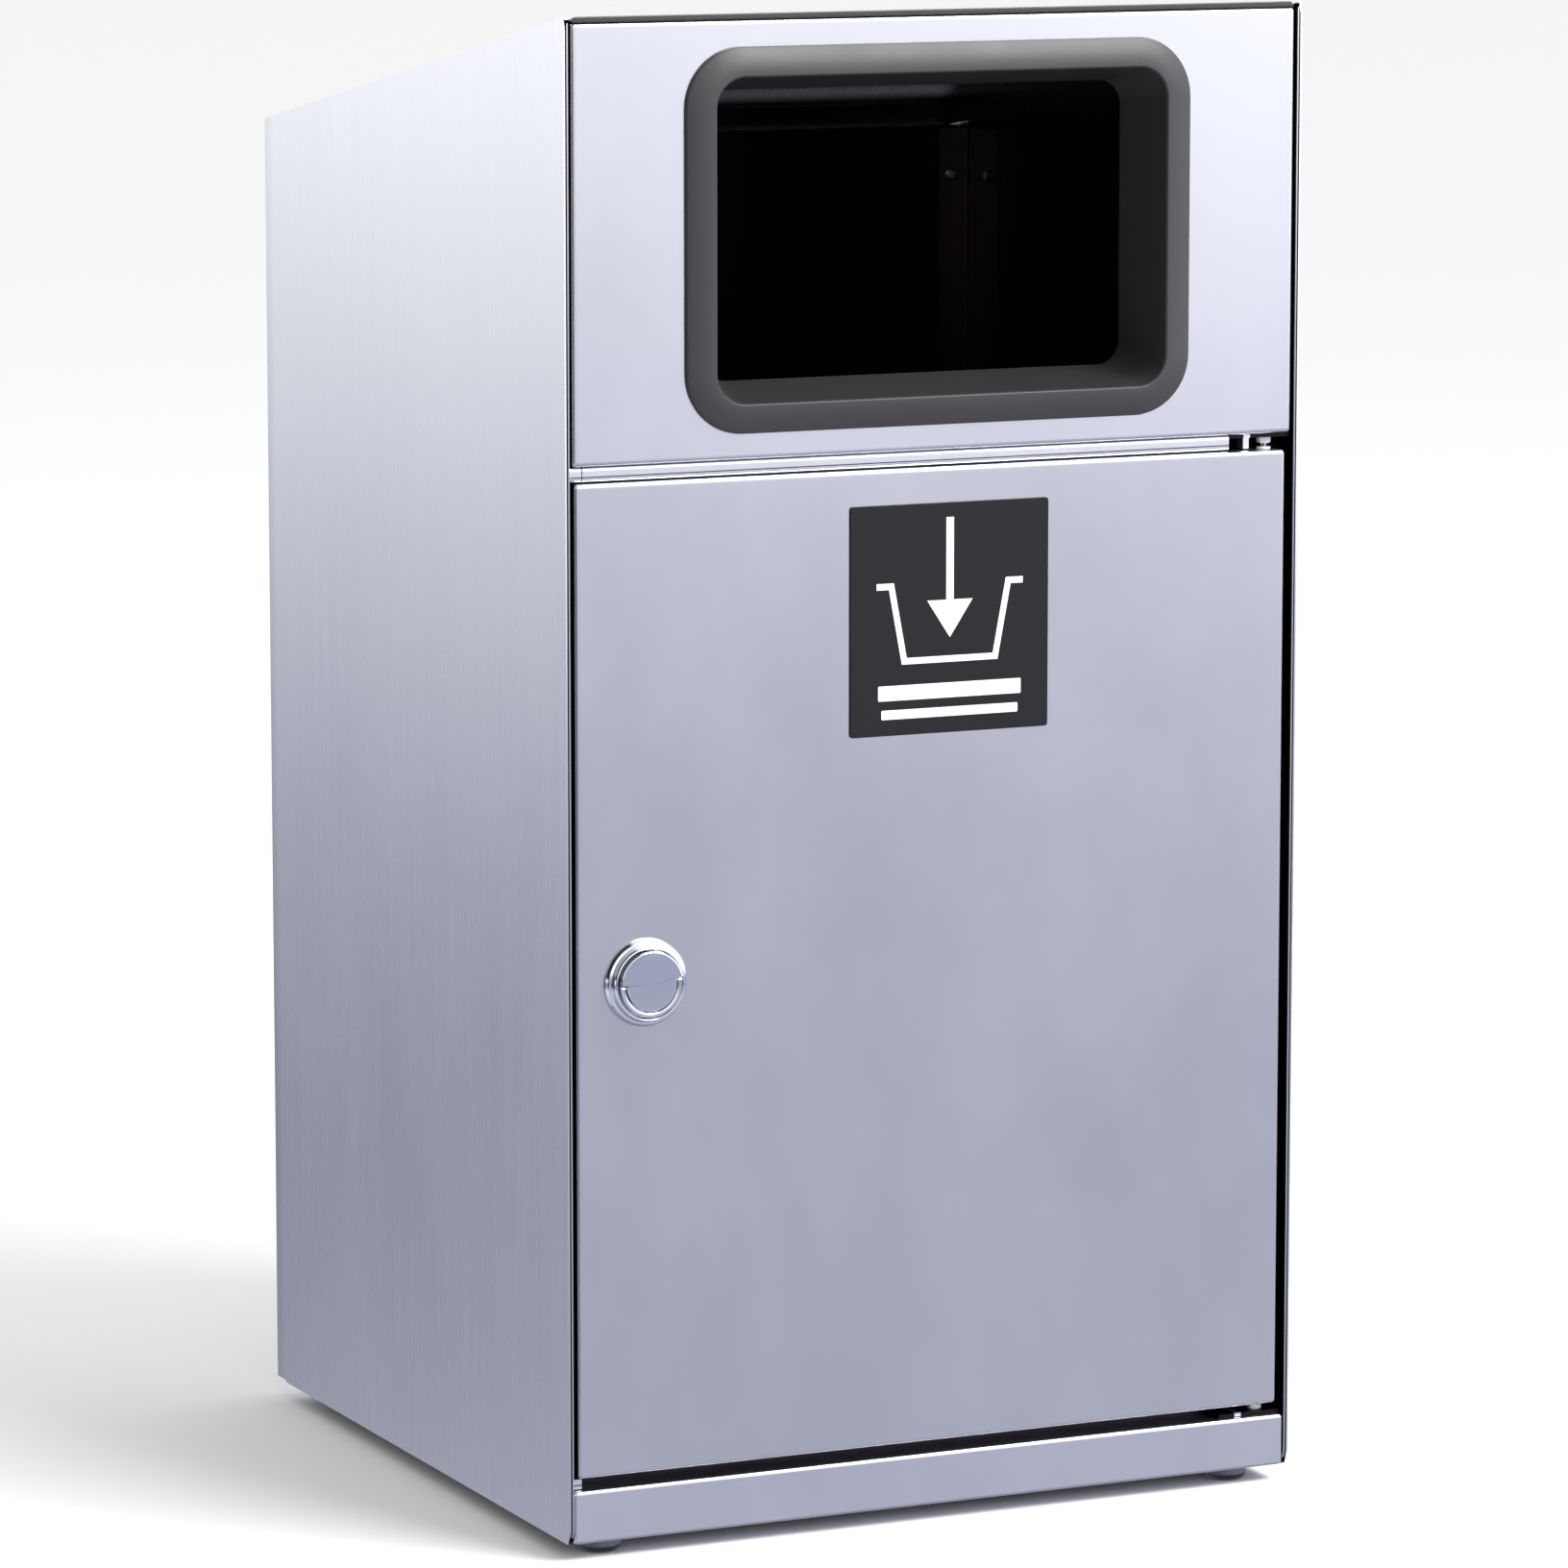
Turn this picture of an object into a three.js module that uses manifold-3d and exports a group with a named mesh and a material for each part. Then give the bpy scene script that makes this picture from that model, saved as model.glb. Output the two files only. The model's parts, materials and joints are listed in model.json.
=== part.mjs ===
// Waste-sorting litter cabinet in folded stainless sheet: a tall case with a
// roof that falls towards the back, a plastic-framed drop window over a hinged
// door, a recessed turn latch with a folding ring pull, four levelling feet
// and a lift-out inner bin. Millimetres, +Z up, the front faces -Y.
//
// Inside this file y runs from 0 at the plane of the front panels to DEPTH at
// the back, and z from the floor. The finished group is moved along y so that
// the origin lies on the floor under the middle of the whole object's box.

import * as THREE from 'three';
import { mergeVertices } from 'three/addons/utils/BufferGeometryUtils.js';
import Module from 'manifold-3d';

const wasm = await Module();
wasm.setup();

// ---------------------------------------------------------------- sizes

// Case
const WIDTH = 450;
const DEPTH = 450;
const HEIGHT = 850;              // floor to the top of the front
const FOOT_HEIGHT = 10;          // floor to the underside of the case
const ROOF_SLOPE = THREE.MathUtils.degToRad(10);
const REAR_RECESS = 30;          // rear panel in front of the sides' rear edges

// Sheet
const SHEET = 1;
const BEND = 1.1;                // inside radius of a fold
const BEND_STEPS = 4;
const FIT = 0.3;                 // between faces that rest on each other
const PIN_PLAY = 0.3;            // between a pin and its hole

// Side panels
const HEM_THICKNESS = 2.7;
const HEM_WIDTH = 12;
const SIDE_REAR_FLANGE = 15;
const SIDE_FOOT_FLANGE = 15;
const TOP_CLIP = [2.2, 7];       // back and down from the front top corner
const FOOT_CLIP = [3, 8];        // back and up from the front bottom corner
const HEEL_NOTCH = [14, 1.3];    // length and height at the rear bottom corner

// Roof
const TRIM_HEIGHT = 3.2;
const TRIM_DEPTH = 6;
const SKIRT = 16;                // depth of the flanges under the roof

// Front panels
const HEM_GAP = 1.9;             // between a side hem and the upper panel
const UPPER_PANEL_HEIGHT = 239;
const UPPER_TOP_FLANGE = 8;
const RAIL_GAP = 9.4;            // between the upper panel and the door
const DOOR_DEPTH = 20;
const DOOR_GAP_LEFT = 2.9;
const DOOR_GAP_RIGHT = 5.1;
const DOOR_GAP_BELOW = 6.9;
const BOTTOM_RAIL_HEIGHT = 30;
const STOP_GAP = 3;              // from the door's back to the faces it shuts on
const STOP_LIP = 18;             // height of the rails' stop faces
const RAIL_NOSE_SETBACK = 2;
const CREASE_HEIGHT = 0.5;
const CREASE_DROP = 5;           // from the top of the cross rail's nose

// Window
const WINDOW_WIDTH = 308;
const WINDOW_MARGIN = 14;        // above and below the frame on its panel
const WINDOW_CORNER = 34;
const BEZEL_BAND = 17;
const BEZEL_PROUD = 6.5;
const SLEEVE_LENGTH = 41;
const SLEEVE_TAPER = 9;
const SLEEVE_WALL = 2;
const CLAMP_WIDTH = 11;
const CLAMP_THICKNESS = 2;
const CUTOUT_PLAY = 1;           // between the sleeve and the holes it passes
const WINDOW_SCREW_RADIUS = 1.4;

// Posts, base and rear
const POST_FACE = 9.3;
const POST_SIDE = 37;
const POST_DROP = 42;            // from the top of the front to the posts' tops
const SEAM = 0.5;                // between a post and the cross rail
const ANGLE_REAR_LEG = 20;
const ANGLE_SIDE_LEG = 40;
const BASE_FLANGE = 25;
const REAR_FLANGE = 14;
const CORNER_SCREW_RADIUS = 1.6;
const REAR_SCREW_IN = 12.5;      // from the corner to the screw on the rear leg
const SIDE_SCREW_IN = 30;        // and on the side leg

// Hinges
const HINGE_FROM_SIDE = 16.7;
const HINGE_SETBACK = 10;
const HINGE_POCKET = 43;         // from the right side to the ends of the rails
const HINGE_PIN_RADIUS = 2;
const BRACKET_THICKNESS = 2;
const HINGE_NUT_HALF = 3.5;      // half across flats
const HINGE_NUT_HEIGHT = 3.4;
const BUSH_WALL = 1.4;
const BUSH_FLANGE = 0.9;
const PIN_REACH = 9;             // how far a pin runs into the door

// Latch
const LATCH_FROM_DOOR_EDGE = 40.8;
const ROSETTE_RADIUS = 24.5;
const ROSETTE_WALL = [19.3, 21.2];
const KNOB_RADIUS = 18.6;
const KNOB_CORE = 14.8;
const KNOB_TILT = THREE.MathUtils.degToRad(5);
const LATCH_PROUD = 11;
const NECK_RADIUS = 10.5;        // threaded neck of the rosette
const SPINDLE_RADIUS = 6;
const RING_THICKNESS = 3.4;
const RING_DEPTH = 7.6;          // its pivot, in front of the door
const RING_PIN_RADIUS = 0.8;
const CAM_REACH = 40;
const CAM_WIDTH = 16;
const CAM_THICKNESS = 3;
const STRIKE_THICKNESS = 2;
const PAD_INSET = 38;            // from the door's corners to the rubber pads

// Label
const LABEL_WIDTH = 122;
const LABEL_HEIGHT = 128.5;
const LABEL_OFFSET = 6;          // right of the middle
const LABEL_DROP = 84;           // from the door's top edge to the label's middle
const LABEL_THICKNESS = 0.8;

// Feet
const FOOT_RADIUS = 12;
const STUD_RADIUS = 4;
const STUD_TOP = 34;
const FRONT_FOOT_INSET = [28, 24];
const REAR_FOOT_INSET = [45, 60];
const FOOT_NUT = [6.5, 6.4];     // half across flats, height

// Inner bin
const BIN_SIDE_ROOM = 26;        // between its rim and the post on each side
const BIN_END_ROOM = [24, 6];    // in front of its rim and behind it
const BIN_LIFT_ROOM = 8;         // spare height while it is lifted out
const BIN_DRAFT = 12;
const BIN_WALL = 2.5;
const BIN_RIM = 7;
const BIN_CORNER = 40;

// ------------------------------------------------------- derived places

const HALF = WIDTH / 2;
const INNER_HALF = HALF - SHEET - FIT;
const HEM_INNER = HALF - HEM_THICKNESS;
const roofAt = y => HEIGHT - y * Math.tan(ROOF_SLOPE);
const CASE_BOTTOM = FOOT_HEIGHT;
const REAR_FACE = DEPTH - REAR_RECESS;

const UPPER_HALF = HEM_INNER - HEM_GAP;
const UPPER_TOP = HEIGHT - TRIM_HEIGHT - FIT;
const UPPER_BOTTOM = UPPER_TOP - UPPER_PANEL_HEIGHT;
const WINDOW_Z = (UPPER_TOP + UPPER_BOTTOM) / 2;
const WINDOW_HEIGHT = UPPER_PANEL_HEIGHT - 2 * WINDOW_MARGIN;

const DOOR_TOP = UPPER_BOTTOM - RAIL_GAP;
const RAIL_TOP = CASE_BOTTOM + BOTTOM_RAIL_HEIGHT;
const DOOR_BOTTOM = RAIL_TOP + DOOR_GAP_BELOW;
const DOOR_LEFT = -HEM_INNER + DOOR_GAP_LEFT;
const DOOR_RIGHT = HEM_INNER - DOOR_GAP_RIGHT;
const STOP_FACE = DOOR_DEPTH + STOP_GAP;

const POST_EDGE = INNER_HALF - POST_FACE;
const RAIL_LEFT = -POST_EDGE + SEAM;
const POCKET_LEFT = HALF - HINGE_POCKET;
const HINGE_X = HALF - HINGE_FROM_SIDE;
const UPPER_PLATE_TOP = UPPER_BOTTOM - FIT;
const LOWER_PLATE_TOP = RAIL_TOP + FIT + BRACKET_THICKNESS;

const LATCH_X = DOOR_LEFT + LATCH_FROM_DOOR_EDGE;
const LATCH_Z = (DOOR_TOP + DOOR_BOTTOM) / 2;
const STRIKE_FACE = STOP_FACE + SHEET + FIT;
const CAM_FACE = STRIKE_FACE + STRIKE_THICKNESS + FIT;

const BASE_TOP = CASE_BOTTOM + 2 * SHEET + FIT;

// -------------------------------------------------------------- solids

function toSolid(geometry) {
  const bare = geometry.clone();
  bare.deleteAttribute('uv');
  bare.deleteAttribute('normal');
  const merged = mergeVertices(bare, 1e-4);
  const vertProperties = new Float32Array(merged.attributes.position.array);
  const triVerts = new Uint32Array(merged.index.array);
  if (signedVolume(vertProperties, triVerts) < 0) {
    for (let i = 0; i < triVerts.length; i += 3) {
      [triVerts[i], triVerts[i + 1]] = [triVerts[i + 1], triVerts[i]];
    }
  }
  return new wasm.Manifold(new wasm.Mesh({ numProp: 3, vertProperties, triVerts }));
}

function signedVolume(points, triangles) {
  const corner = i => new THREE.Vector3().fromArray(points, 3 * i);
  let sum = 0;
  for (let i = 0; i < triangles.length; i += 3) {
    const [a, b, c] = [corner(triangles[i]), corner(triangles[i + 1]), corner(triangles[i + 2])];
    sum += a.dot(b.cross(c));
  }
  return sum / 6;
}

function toGeometry(solid) {
  const { vertProperties, triVerts } = solid.getMesh();
  const geometry = new THREE.BufferGeometry();
  geometry.setAttribute('position', new THREE.BufferAttribute(vertProperties, 3));
  geometry.setIndex(new THREE.BufferAttribute(triVerts, 1));
  geometry.computeVertexNormals();
  return geometry;
}

const join = (first, ...others) => others.reduce((sum, next) => sum.add(next), first);
const cut = (first, ...tools) => tools.reduce((rest, tool) => rest.subtract(tool), first);

// A prism of a closed outline, from one value of the third axis to another.
function prism(outline, from, to, place) {
  const shape = new THREE.Shape(outline.map(([u, v]) => new THREE.Vector2(u, v)));
  const geometry = new THREE.ExtrudeGeometry(shape, { depth: to - from, bevelEnabled: false });
  geometry.translate(0, 0, from);
  geometry.applyMatrix4(place);
  return toSolid(geometry);
}

const ALONG_X = new THREE.Matrix4().set(0, 0, 1, 0, 1, 0, 0, 0, 0, 1, 0, 0, 0, 0, 0, 1);
const ALONG_Y = new THREE.Matrix4().set(1, 0, 0, 0, 0, 0, 1, 0, 0, 1, 0, 0, 0, 0, 0, 1);
const alongX = (outline, from, to) => prism(outline, from, to, ALONG_X);    // outline in (y, z)
const alongY = (outline, from, to) => prism(outline, from, to, ALONG_Y);    // outline in (x, z)
const alongZ = (outline, from, to) => prism(outline, from, to, new THREE.Matrix4());  // (x, y)

function box(x0, x1, y0, y1, z0, z1) {
  const geometry = new THREE.BoxGeometry(x1 - x0, y1 - y0, z1 - z0);
  geometry.translate((x0 + x1) / 2, (y0 + y1) / 2, (z0 + z1) / 2);
  return toSolid(geometry);
}

// A profile of (radius, height) pairs turned about the z axis through x, y.
// A profile that doesn't touch the axis closes on itself as a ring.
function turnedZ(profile, x, y, segments) {
  const onAxis = profile[0][0] === 0;
  const points = (onAxis ? profile : [...profile, profile[0]]).map(p => new THREE.Vector2(...p));
  const geometry = new THREE.LatheGeometry(points, segments);
  geometry.rotateX(Math.PI / 2);
  geometry.translate(x, y, 0);
  return toSolid(geometry);
}

// The same about the y axis through x, z; the profile is (radius, y) pairs.
function turnedY(profile, x, z, segments) {
  const onAxis = profile[0][0] === 0;
  const points = (onAxis ? profile : [...profile, profile[0]]).map(p => new THREE.Vector2(...p));
  const geometry = new THREE.LatheGeometry(points, segments);
  geometry.translate(x, 0, z);
  return toSolid(geometry);
}

const rodZ = (radius, x, y, z0, z1, segments = 16) =>
  turnedZ([[0, z0], [radius, z0], [radius, z1], [0, z1]], x, y, segments);
const rodY = (radius, x, z, y0, y1, segments = 16) =>
  turnedY([[0, y0], [radius, y0], [radius, y1], [0, y1]], x, z, segments);

// The corner radius of a hexagon whose flats are `half` from its middle.
const hexRadius = half => half / Math.cos(Math.PI / 6);

// Outline of a bent sheet. The path follows one face; the thickness lies to
// its left, and every corner is a round fold with the inside radius BEND.
function bentSheet(path, thickness = SHEET) {
  const face = [];
  const back = [];
  const points = path.map(p => new THREE.Vector2(...p));
  const leftOf = d => new THREE.Vector2(-d.y, d.x);
  const put = (list, p) => list.push([p.x, p.y]);
  points.forEach((p, i) => {
    const before = i > 0 ? p.clone().sub(points[i - 1]).normalize() : null;
    const after = i < points.length - 1 ? points[i + 1].clone().sub(p).normalize() : null;
    if (!before || !after) {
      put(face, p);
      put(back, p.clone().addScaledVector(leftOf(before || after), thickness));
      return;
    }
    const turn = Math.atan2(before.cross(after), before.dot(after));
    const toLeft = turn > 0;
    const faceRadius = toLeft ? BEND + thickness : BEND;
    const backRadius = toLeft ? BEND : BEND + thickness;
    const start = p.clone().addScaledVector(before, -faceRadius * Math.tan(Math.abs(turn) / 2));
    const inward = leftOf(before).multiplyScalar(toLeft ? 1 : -1);
    const centre = start.clone().addScaledVector(inward, faceRadius);
    for (let k = 0; k <= BEND_STEPS; k++) {
      const radial = inward.clone().negate().rotateAround(new THREE.Vector2(), turn * k / BEND_STEPS);
      put(face, centre.clone().addScaledVector(radial, faceRadius));
      put(back, centre.clone().addScaledVector(radial, backRadius));
    }
  });
  return [...face, ...back.reverse()];
}

// Rectangle outline with round corners, counter-clockwise about (cx, cy).
function roundedRectangle(cx, cy, halfWidth, halfHeight, radius, steps = 6) {
  const points = [];
  for (let corner = 0; corner < 4; corner++) {
    const sx = corner === 0 || corner === 3 ? 1 : -1;
    const sy = corner < 2 ? 1 : -1;
    for (let k = 0; k <= steps; k++) {
      const angle = Math.PI / 2 * (corner + k / steps);
      points.push([
        cx + sx * (halfWidth - radius) + radius * Math.cos(angle),
        cy + sy * (halfHeight - radius) + radius * Math.sin(angle),
      ]);
    }
  }
  return points;
}

// A block whose four front edges are rounded with radius r.
function frontBlock(x0, x1, z0, z1, y0, y1, r) {
  const edge = (low, high) => {
    const points = [[low, y1]];
    for (const [centre, start] of [[low + r, Math.PI], [high - r, 1.5 * Math.PI]]) {
      for (let k = 0; k <= BEND_STEPS; k++) {
        const angle = start + Math.PI / 2 * k / BEND_STEPS;
        points.push([centre + r * Math.cos(angle), y0 + r + r * Math.sin(angle)]);
      }
    }
    return [...points, [high, y1]];
  };
  const upright = alongZ(edge(x0, x1), z0, z1);
  const level = alongX(edge(z0, z1).map(([z, y]) => [y, z]), x0, x1);
  return upright.intersect(level);
}

// A folded pan: a front sheet with flanges back to y1 on all four sides.
function pan(x0, x1, z0, z1, y0, y1) {
  const outer = frontBlock(x0, x1, z0, z1, y0, y1, BEND + SHEET);
  const t = SHEET;
  const hollow = frontBlock(x0 + t, x1 - t, z0 + t, z1 - t, y0 + t, y1 + 1, BEND);
  return cut(outer, hollow);
}

// Surface through a list of equal-length outlines of 3-D points. Closed lists
// come back to the first outline as a ring; open ones are capped at both ends.
function loft(sections, closed) {
  const n = sections[0].length;
  const positions = sections.flat(2);
  const index = [];
  const count = closed ? sections.length : sections.length - 1;
  for (let s = 0; s < count; s++) {
    const a = s * n;
    const b = (s + 1) % sections.length * n;
    for (let k = 0; k < n; k++) {
      const next = (k + 1) % n;
      index.push(a + k, a + next, b + k, b + k, a + next, b + next);
    }
  }
  if (!closed) {
    const last = (sections.length - 1) * n;
    for (let k = 1; k < n - 1; k++) {
      index.push(0, k + 1, k, last, last + k, last + k + 1);
    }
  }
  const geometry = new THREE.BufferGeometry();
  geometry.setAttribute('position', new THREE.Float32BufferAttribute(positions, 3));
  geometry.setIndex(index);
  return toSolid(geometry);
}

// --------------------------------------------------------------- finish

const finish = (color, roughness, metalness) =>
  () => new THREE.MeshStandardMaterial({ color, roughness, metalness });
const satinSteel = finish(0xb9bac2, 0.38, 1);
const brightSteel = finish(0xb4bacb, 0.22, 1);
const plainSteel = finish(0x9a9ca3, 0.45, 1);
const chrome = finish(0xdfe3ea, 0.08, 1);
const darkPlastic = finish(0x3a383d, 0.5, 0);
const blackTrim = finish(0x1c1a1d, 0.35, 0);
const labelBlack = finish(0x1f1e22, 0.55, 0);
const rubber = finish(0x2a2c31, 0.7, 0);
const greyPlastic = finish(0x70757d, 0.55, 0);
const nylon = finish(0xe8e8e4, 0.4, 0);

const model = new THREE.Group();

function add(name, solid, material) {
  const mesh = new THREE.Mesh(toGeometry(solid), material());
  mesh.name = name;
  model.add(mesh);
}

// ---------------------------------------------------------------- sides

// Right side panel: sheet with a hemmed front edge and flanges turned inwards
// along the back and the bottom. `side` is +1 for the right, -1 for the left.
function sidePanel(side) {
  const outline = [
    [FOOT_CLIP[0], CASE_BOTTOM],
    [DEPTH - HEEL_NOTCH[0] - 3, CASE_BOTTOM],
    [DEPTH - HEEL_NOTCH[0], CASE_BOTTOM + HEEL_NOTCH[1]],
    [DEPTH, CASE_BOTTOM + HEEL_NOTCH[1]],
    [DEPTH, roofAt(DEPTH)],
    [TOP_CLIP[0], roofAt(TOP_CLIP[0])],
    [0, HEIGHT - TOP_CLIP[1]],
    [0, CASE_BOTTOM + FOOT_CLIP[1]],
  ];
  const inner = HALF - SHEET;
  const sheet = alongX(outline, inner, HALF);
  const hem = box(HEM_INNER, inner + 0.5, 0, HEM_WIDTH, CASE_BOTTOM, HEIGHT - TRIM_HEIGHT - FIT);
  const hemEnds = alongX(outline, HEM_INNER - 1, HALF);
  const flangeTop = roofAt(DEPTH) - SKIRT - 2;
  const rear = box(HALF - SIDE_REAR_FLANGE, HALF, DEPTH - SHEET, DEPTH,
    CASE_BOTTOM + HEEL_NOTCH[1], flangeTop);
  const foot = box(HALF - SIDE_FOOT_FLANGE, HALF, STOP_FACE + 13, REAR_FACE - 2,
    CASE_BOTTOM, CASE_BOTTOM + SHEET);
  const panel = join(sheet, hem.intersect(hemEnds), rear, foot);
  return side > 0 ? panel : panel.mirror([1, 0, 0]);
}

add('side_panel_left', sidePanel(-1), satinSteel);
add('side_panel_right', sidePanel(1), satinSteel);

// ----------------------------------------------------------------- roof

// Sloping roof sheet between the sides, with flanges down inside both sides
// and at the back.
function roofPanel() {
  const front = TRIM_DEPTH + FIT;
  const sheet = alongX(bentSheet([
    [DEPTH, roofAt(DEPTH) - SKIRT],
    [DEPTH, roofAt(DEPTH)],
    [front, roofAt(front)],
  ]), -INNER_HALF, INNER_HALF);
  const skirtOutline = [
    [STOP_FACE + 2, roofAt(STOP_FACE + 2) - SHEET / 2],
    [STOP_FACE + 2, roofAt(STOP_FACE + 2) - SKIRT],
    [DEPTH - SHEET - 1, roofAt(DEPTH - SHEET - 1) - SKIRT],
    [DEPTH - SHEET - 1, roofAt(DEPTH - SHEET - 1) - SHEET / 2],
  ];
  const skirt = side => alongX(skirtOutline,
    side > 0 ? INNER_HALF - SHEET : -INNER_HALF,
    side > 0 ? INNER_HALF : -INNER_HALF + SHEET);
  return join(sheet, skirt(1), skirt(-1));
}

// Dark edge strip along the roof's front edge, rounded at both ends.
function roofTrim() {
  const profile = [
    [0.5, HEIGHT - TRIM_HEIGHT],
    [TRIM_DEPTH, HEIGHT - TRIM_HEIGHT],
    [TRIM_DEPTH, roofAt(TRIM_DEPTH)],
    [0.5, HEIGHT],
    [0, HEIGHT - 0.7],
    [0, HEIGHT - TRIM_HEIGHT + 0.5],
  ];
  const bar = alongX(profile, -INNER_HALF, INNER_HALF);
  const round = roundedRectangle(0, HEIGHT - TRIM_HEIGHT, INNER_HALF, TRIM_HEIGHT, 2.4, 4);
  return bar.intersect(alongY(round, -1, TRIM_DEPTH + 1));
}

add('roof_panel', roofPanel(), satinSteel);
add('roof_front_trim', roofTrim(), blackTrim);

// ------------------------------------------------- upper panel and window

const OPENING_HALF = [WINDOW_WIDTH / 2 - BEZEL_BAND, WINDOW_HEIGHT / 2 - BEZEL_BAND];
const OPENING_CORNER = WINDOW_CORNER - BEZEL_BAND;

const windowOutline = (grow, radius, y, steps = 6) =>
  roundedRectangle(0, WINDOW_Z, OPENING_HALF[0] + grow, OPENING_HALF[1] + grow, radius, steps)
    .map(([x, z]) => [x, y, z]);

// Screws that hold the window frame from behind, left and right of the opening.
const windowScrews = [-1, 1].flatMap(sx => [-1, 1].map(sz => [
  sx * (OPENING_HALF[0] + SLEEVE_WALL + CUTOUT_PLAY + CLAMP_WIDTH / 2),
  WINDOW_Z + sz * 0.55 * OPENING_HALF[1],
]));
const screwHoles = (radius, y0, y1) =>
  windowScrews.map(([x, z]) => rodY(radius, x, z, y0, y1, 10));

function upperPanel() {
  const body = pan(-UPPER_HALF, UPPER_HALF, UPPER_BOTTOM, UPPER_TOP, 0, STOP_FACE - FIT);
  const grow = SLEEVE_WALL + CUTOUT_PLAY;
  const cutout = alongY(roundedRectangle(0, WINDOW_Z, OPENING_HALF[0] + grow,
    OPENING_HALF[1] + grow, OPENING_CORNER + grow), -1, SHEET + 1);
  const underRoof = box(-HALF, HALF, UPPER_TOP_FLANGE, DEPTH, UPPER_TOP - SKIRT / 3, HEIGHT);
  return cut(body, cutout, underRoof, ...screwHoles(WINDOW_SCREW_RADIUS + PIN_PLAY, -1, SHEET + 1));
}

// Plastic bezel with a soft convex band and a sleeve that narrows inwards.
function windowFrame() {
  const back = SLEEVE_LENGTH - BEZEL_PROUD;
  const band = BEZEL_BAND;
  const lip = OPENING_CORNER;
  const sections = [
    windowOutline(band, WINDOW_CORNER, -FIT),
    windowOutline(band, WINDOW_CORNER, -0.38 * BEZEL_PROUD),
    windowOutline(0.94 * band, lip + 0.94 * band, -0.72 * BEZEL_PROUD),
    windowOutline(0.76 * band, lip + 0.76 * band, -0.94 * BEZEL_PROUD),
    windowOutline(0.5 * band, lip + 0.5 * band, -BEZEL_PROUD),
    windowOutline(0.24 * band, lip + 0.24 * band, -0.94 * BEZEL_PROUD),
    windowOutline(0.06 * band, lip + 0.06 * band, -0.7 * BEZEL_PROUD),
    windowOutline(0, lip, -0.34 * BEZEL_PROUD),
    windowOutline(-SLEEVE_TAPER, lip - 0.4 * SLEEVE_TAPER, back),
    windowOutline(SLEEVE_WALL - SLEEVE_TAPER, lip + SLEEVE_WALL - 0.4 * SLEEVE_TAPER, back),
    windowOutline(SLEEVE_WALL, lip + SLEEVE_WALL, -FIT),
  ];
  return cut(loft(sections, true), ...screwHoles(WINDOW_SCREW_RADIUS + PIN_PLAY, -4.4, 0));
}

// Flat steel ring behind the panel that the window frame is screwed to.
function windowClamp() {
  const grow = SLEEVE_WALL + CUTOUT_PLAY;
  const outline = extra => roundedRectangle(0, WINDOW_Z, OPENING_HALF[0] + grow + extra,
    OPENING_HALF[1] + grow + extra, OPENING_CORNER + grow + extra / 2);
  const y0 = SHEET + FIT;
  const y1 = y0 + CLAMP_THICKNESS;
  const ring = cut(alongY(outline(CLAMP_WIDTH), y0, y1), alongY(outline(0), y0 - 1, y1 + 1));
  return cut(ring, ...screwHoles(WINDOW_SCREW_RADIUS + PIN_PLAY, y0 - 1, y1 + 1));
}

function windowScrew([x, z]) {
  const seat = SHEET + CLAMP_THICKNESS + 2 * FIT;
  const r = WINDOW_SCREW_RADIUS;
  return turnedY([[0, -4], [r, -4], [r, seat], [2.4 * r, seat], [2.4 * r, seat + 1.2],
    [1.5 * r, seat + 2], [0, seat + 2]], x, z, 10);
}

add('upper_front_panel', upperPanel(), brightSteel);
add('window_frame', windowFrame(), darkPlastic);
add('window_clamp_frame', windowClamp(), plainSteel);
windowScrews.forEach((place, i) => add(`window_screw_${i + 1}`, windowScrew(place), plainSteel));

// ------------------------------------------------------ rails and posts

const NOSE_BOTTOM = DOOR_TOP + 0.7;

// The rail's nose fills the gap between the upper panel and the door, with a
// narrow crease along its face.
function railNose(x0, x1) {
  const profile = bentSheet([
    [STOP_FACE + SHEET, UPPER_PLATE_TOP],
    [RAIL_NOSE_SETBACK, UPPER_PLATE_TOP],
    [RAIL_NOSE_SETBACK, NOSE_BOTTOM],
    [STOP_FACE + SHEET, NOSE_BOTTOM],
  ]);
  const creaseTop = UPPER_PLATE_TOP - CREASE_DROP;
  const crease = box(x0 - 1, x1 + 1, RAIL_NOSE_SETBACK - 1, RAIL_NOSE_SETBACK + 0.6,
    creaseTop - CREASE_HEIGHT, creaseTop);
  return cut(alongX(profile, x0, x1), crease);
}

function crossRail() {
  const stop = bentSheet([
    [STOP_FACE, NOSE_BOTTOM + SHEET],
    [STOP_FACE, NOSE_BOTTOM - STOP_LIP],
    [STOP_FACE + 11, NOSE_BOTTOM - STOP_LIP],
  ]);
  const tie = box(RAIL_LEFT, POCKET_LEFT, STOP_FACE, STOP_FACE + 22,
    UPPER_PLATE_TOP - SHEET, UPPER_PLATE_TOP);
  return join(railNose(RAIL_LEFT, POCKET_LEFT), alongX(stop, RAIL_LEFT, POCKET_LEFT), tie);
}

// Kick rail under the door: face, bright top fold, stop lip and foot flange.
function bottomRail() {
  const x = HEM_INNER - 0.4;
  const profile = bentSheet([
    [STOP_FACE + 11, RAIL_TOP + STOP_LIP],
    [STOP_FACE, RAIL_TOP + STOP_LIP],
    [STOP_FACE, RAIL_TOP],
    [0, RAIL_TOP],
    [0, CASE_BOTTOM],
    [STOP_FACE + 11, CASE_BOTTOM],
  ]);
  const pocket = box(POCKET_LEFT, HALF, STOP_FACE - 2.5, DEPTH, RAIL_TOP - 3, DOOR_TOP);
  const postRoom = box(-HALF, -POST_EDGE + SEAM, STOP_FACE - 2.5, DEPTH, RAIL_TOP - 3, DOOR_TOP);
  return cut(alongX(profile, -x, x), pocket, postRoom, ...footHoles());
}

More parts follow.
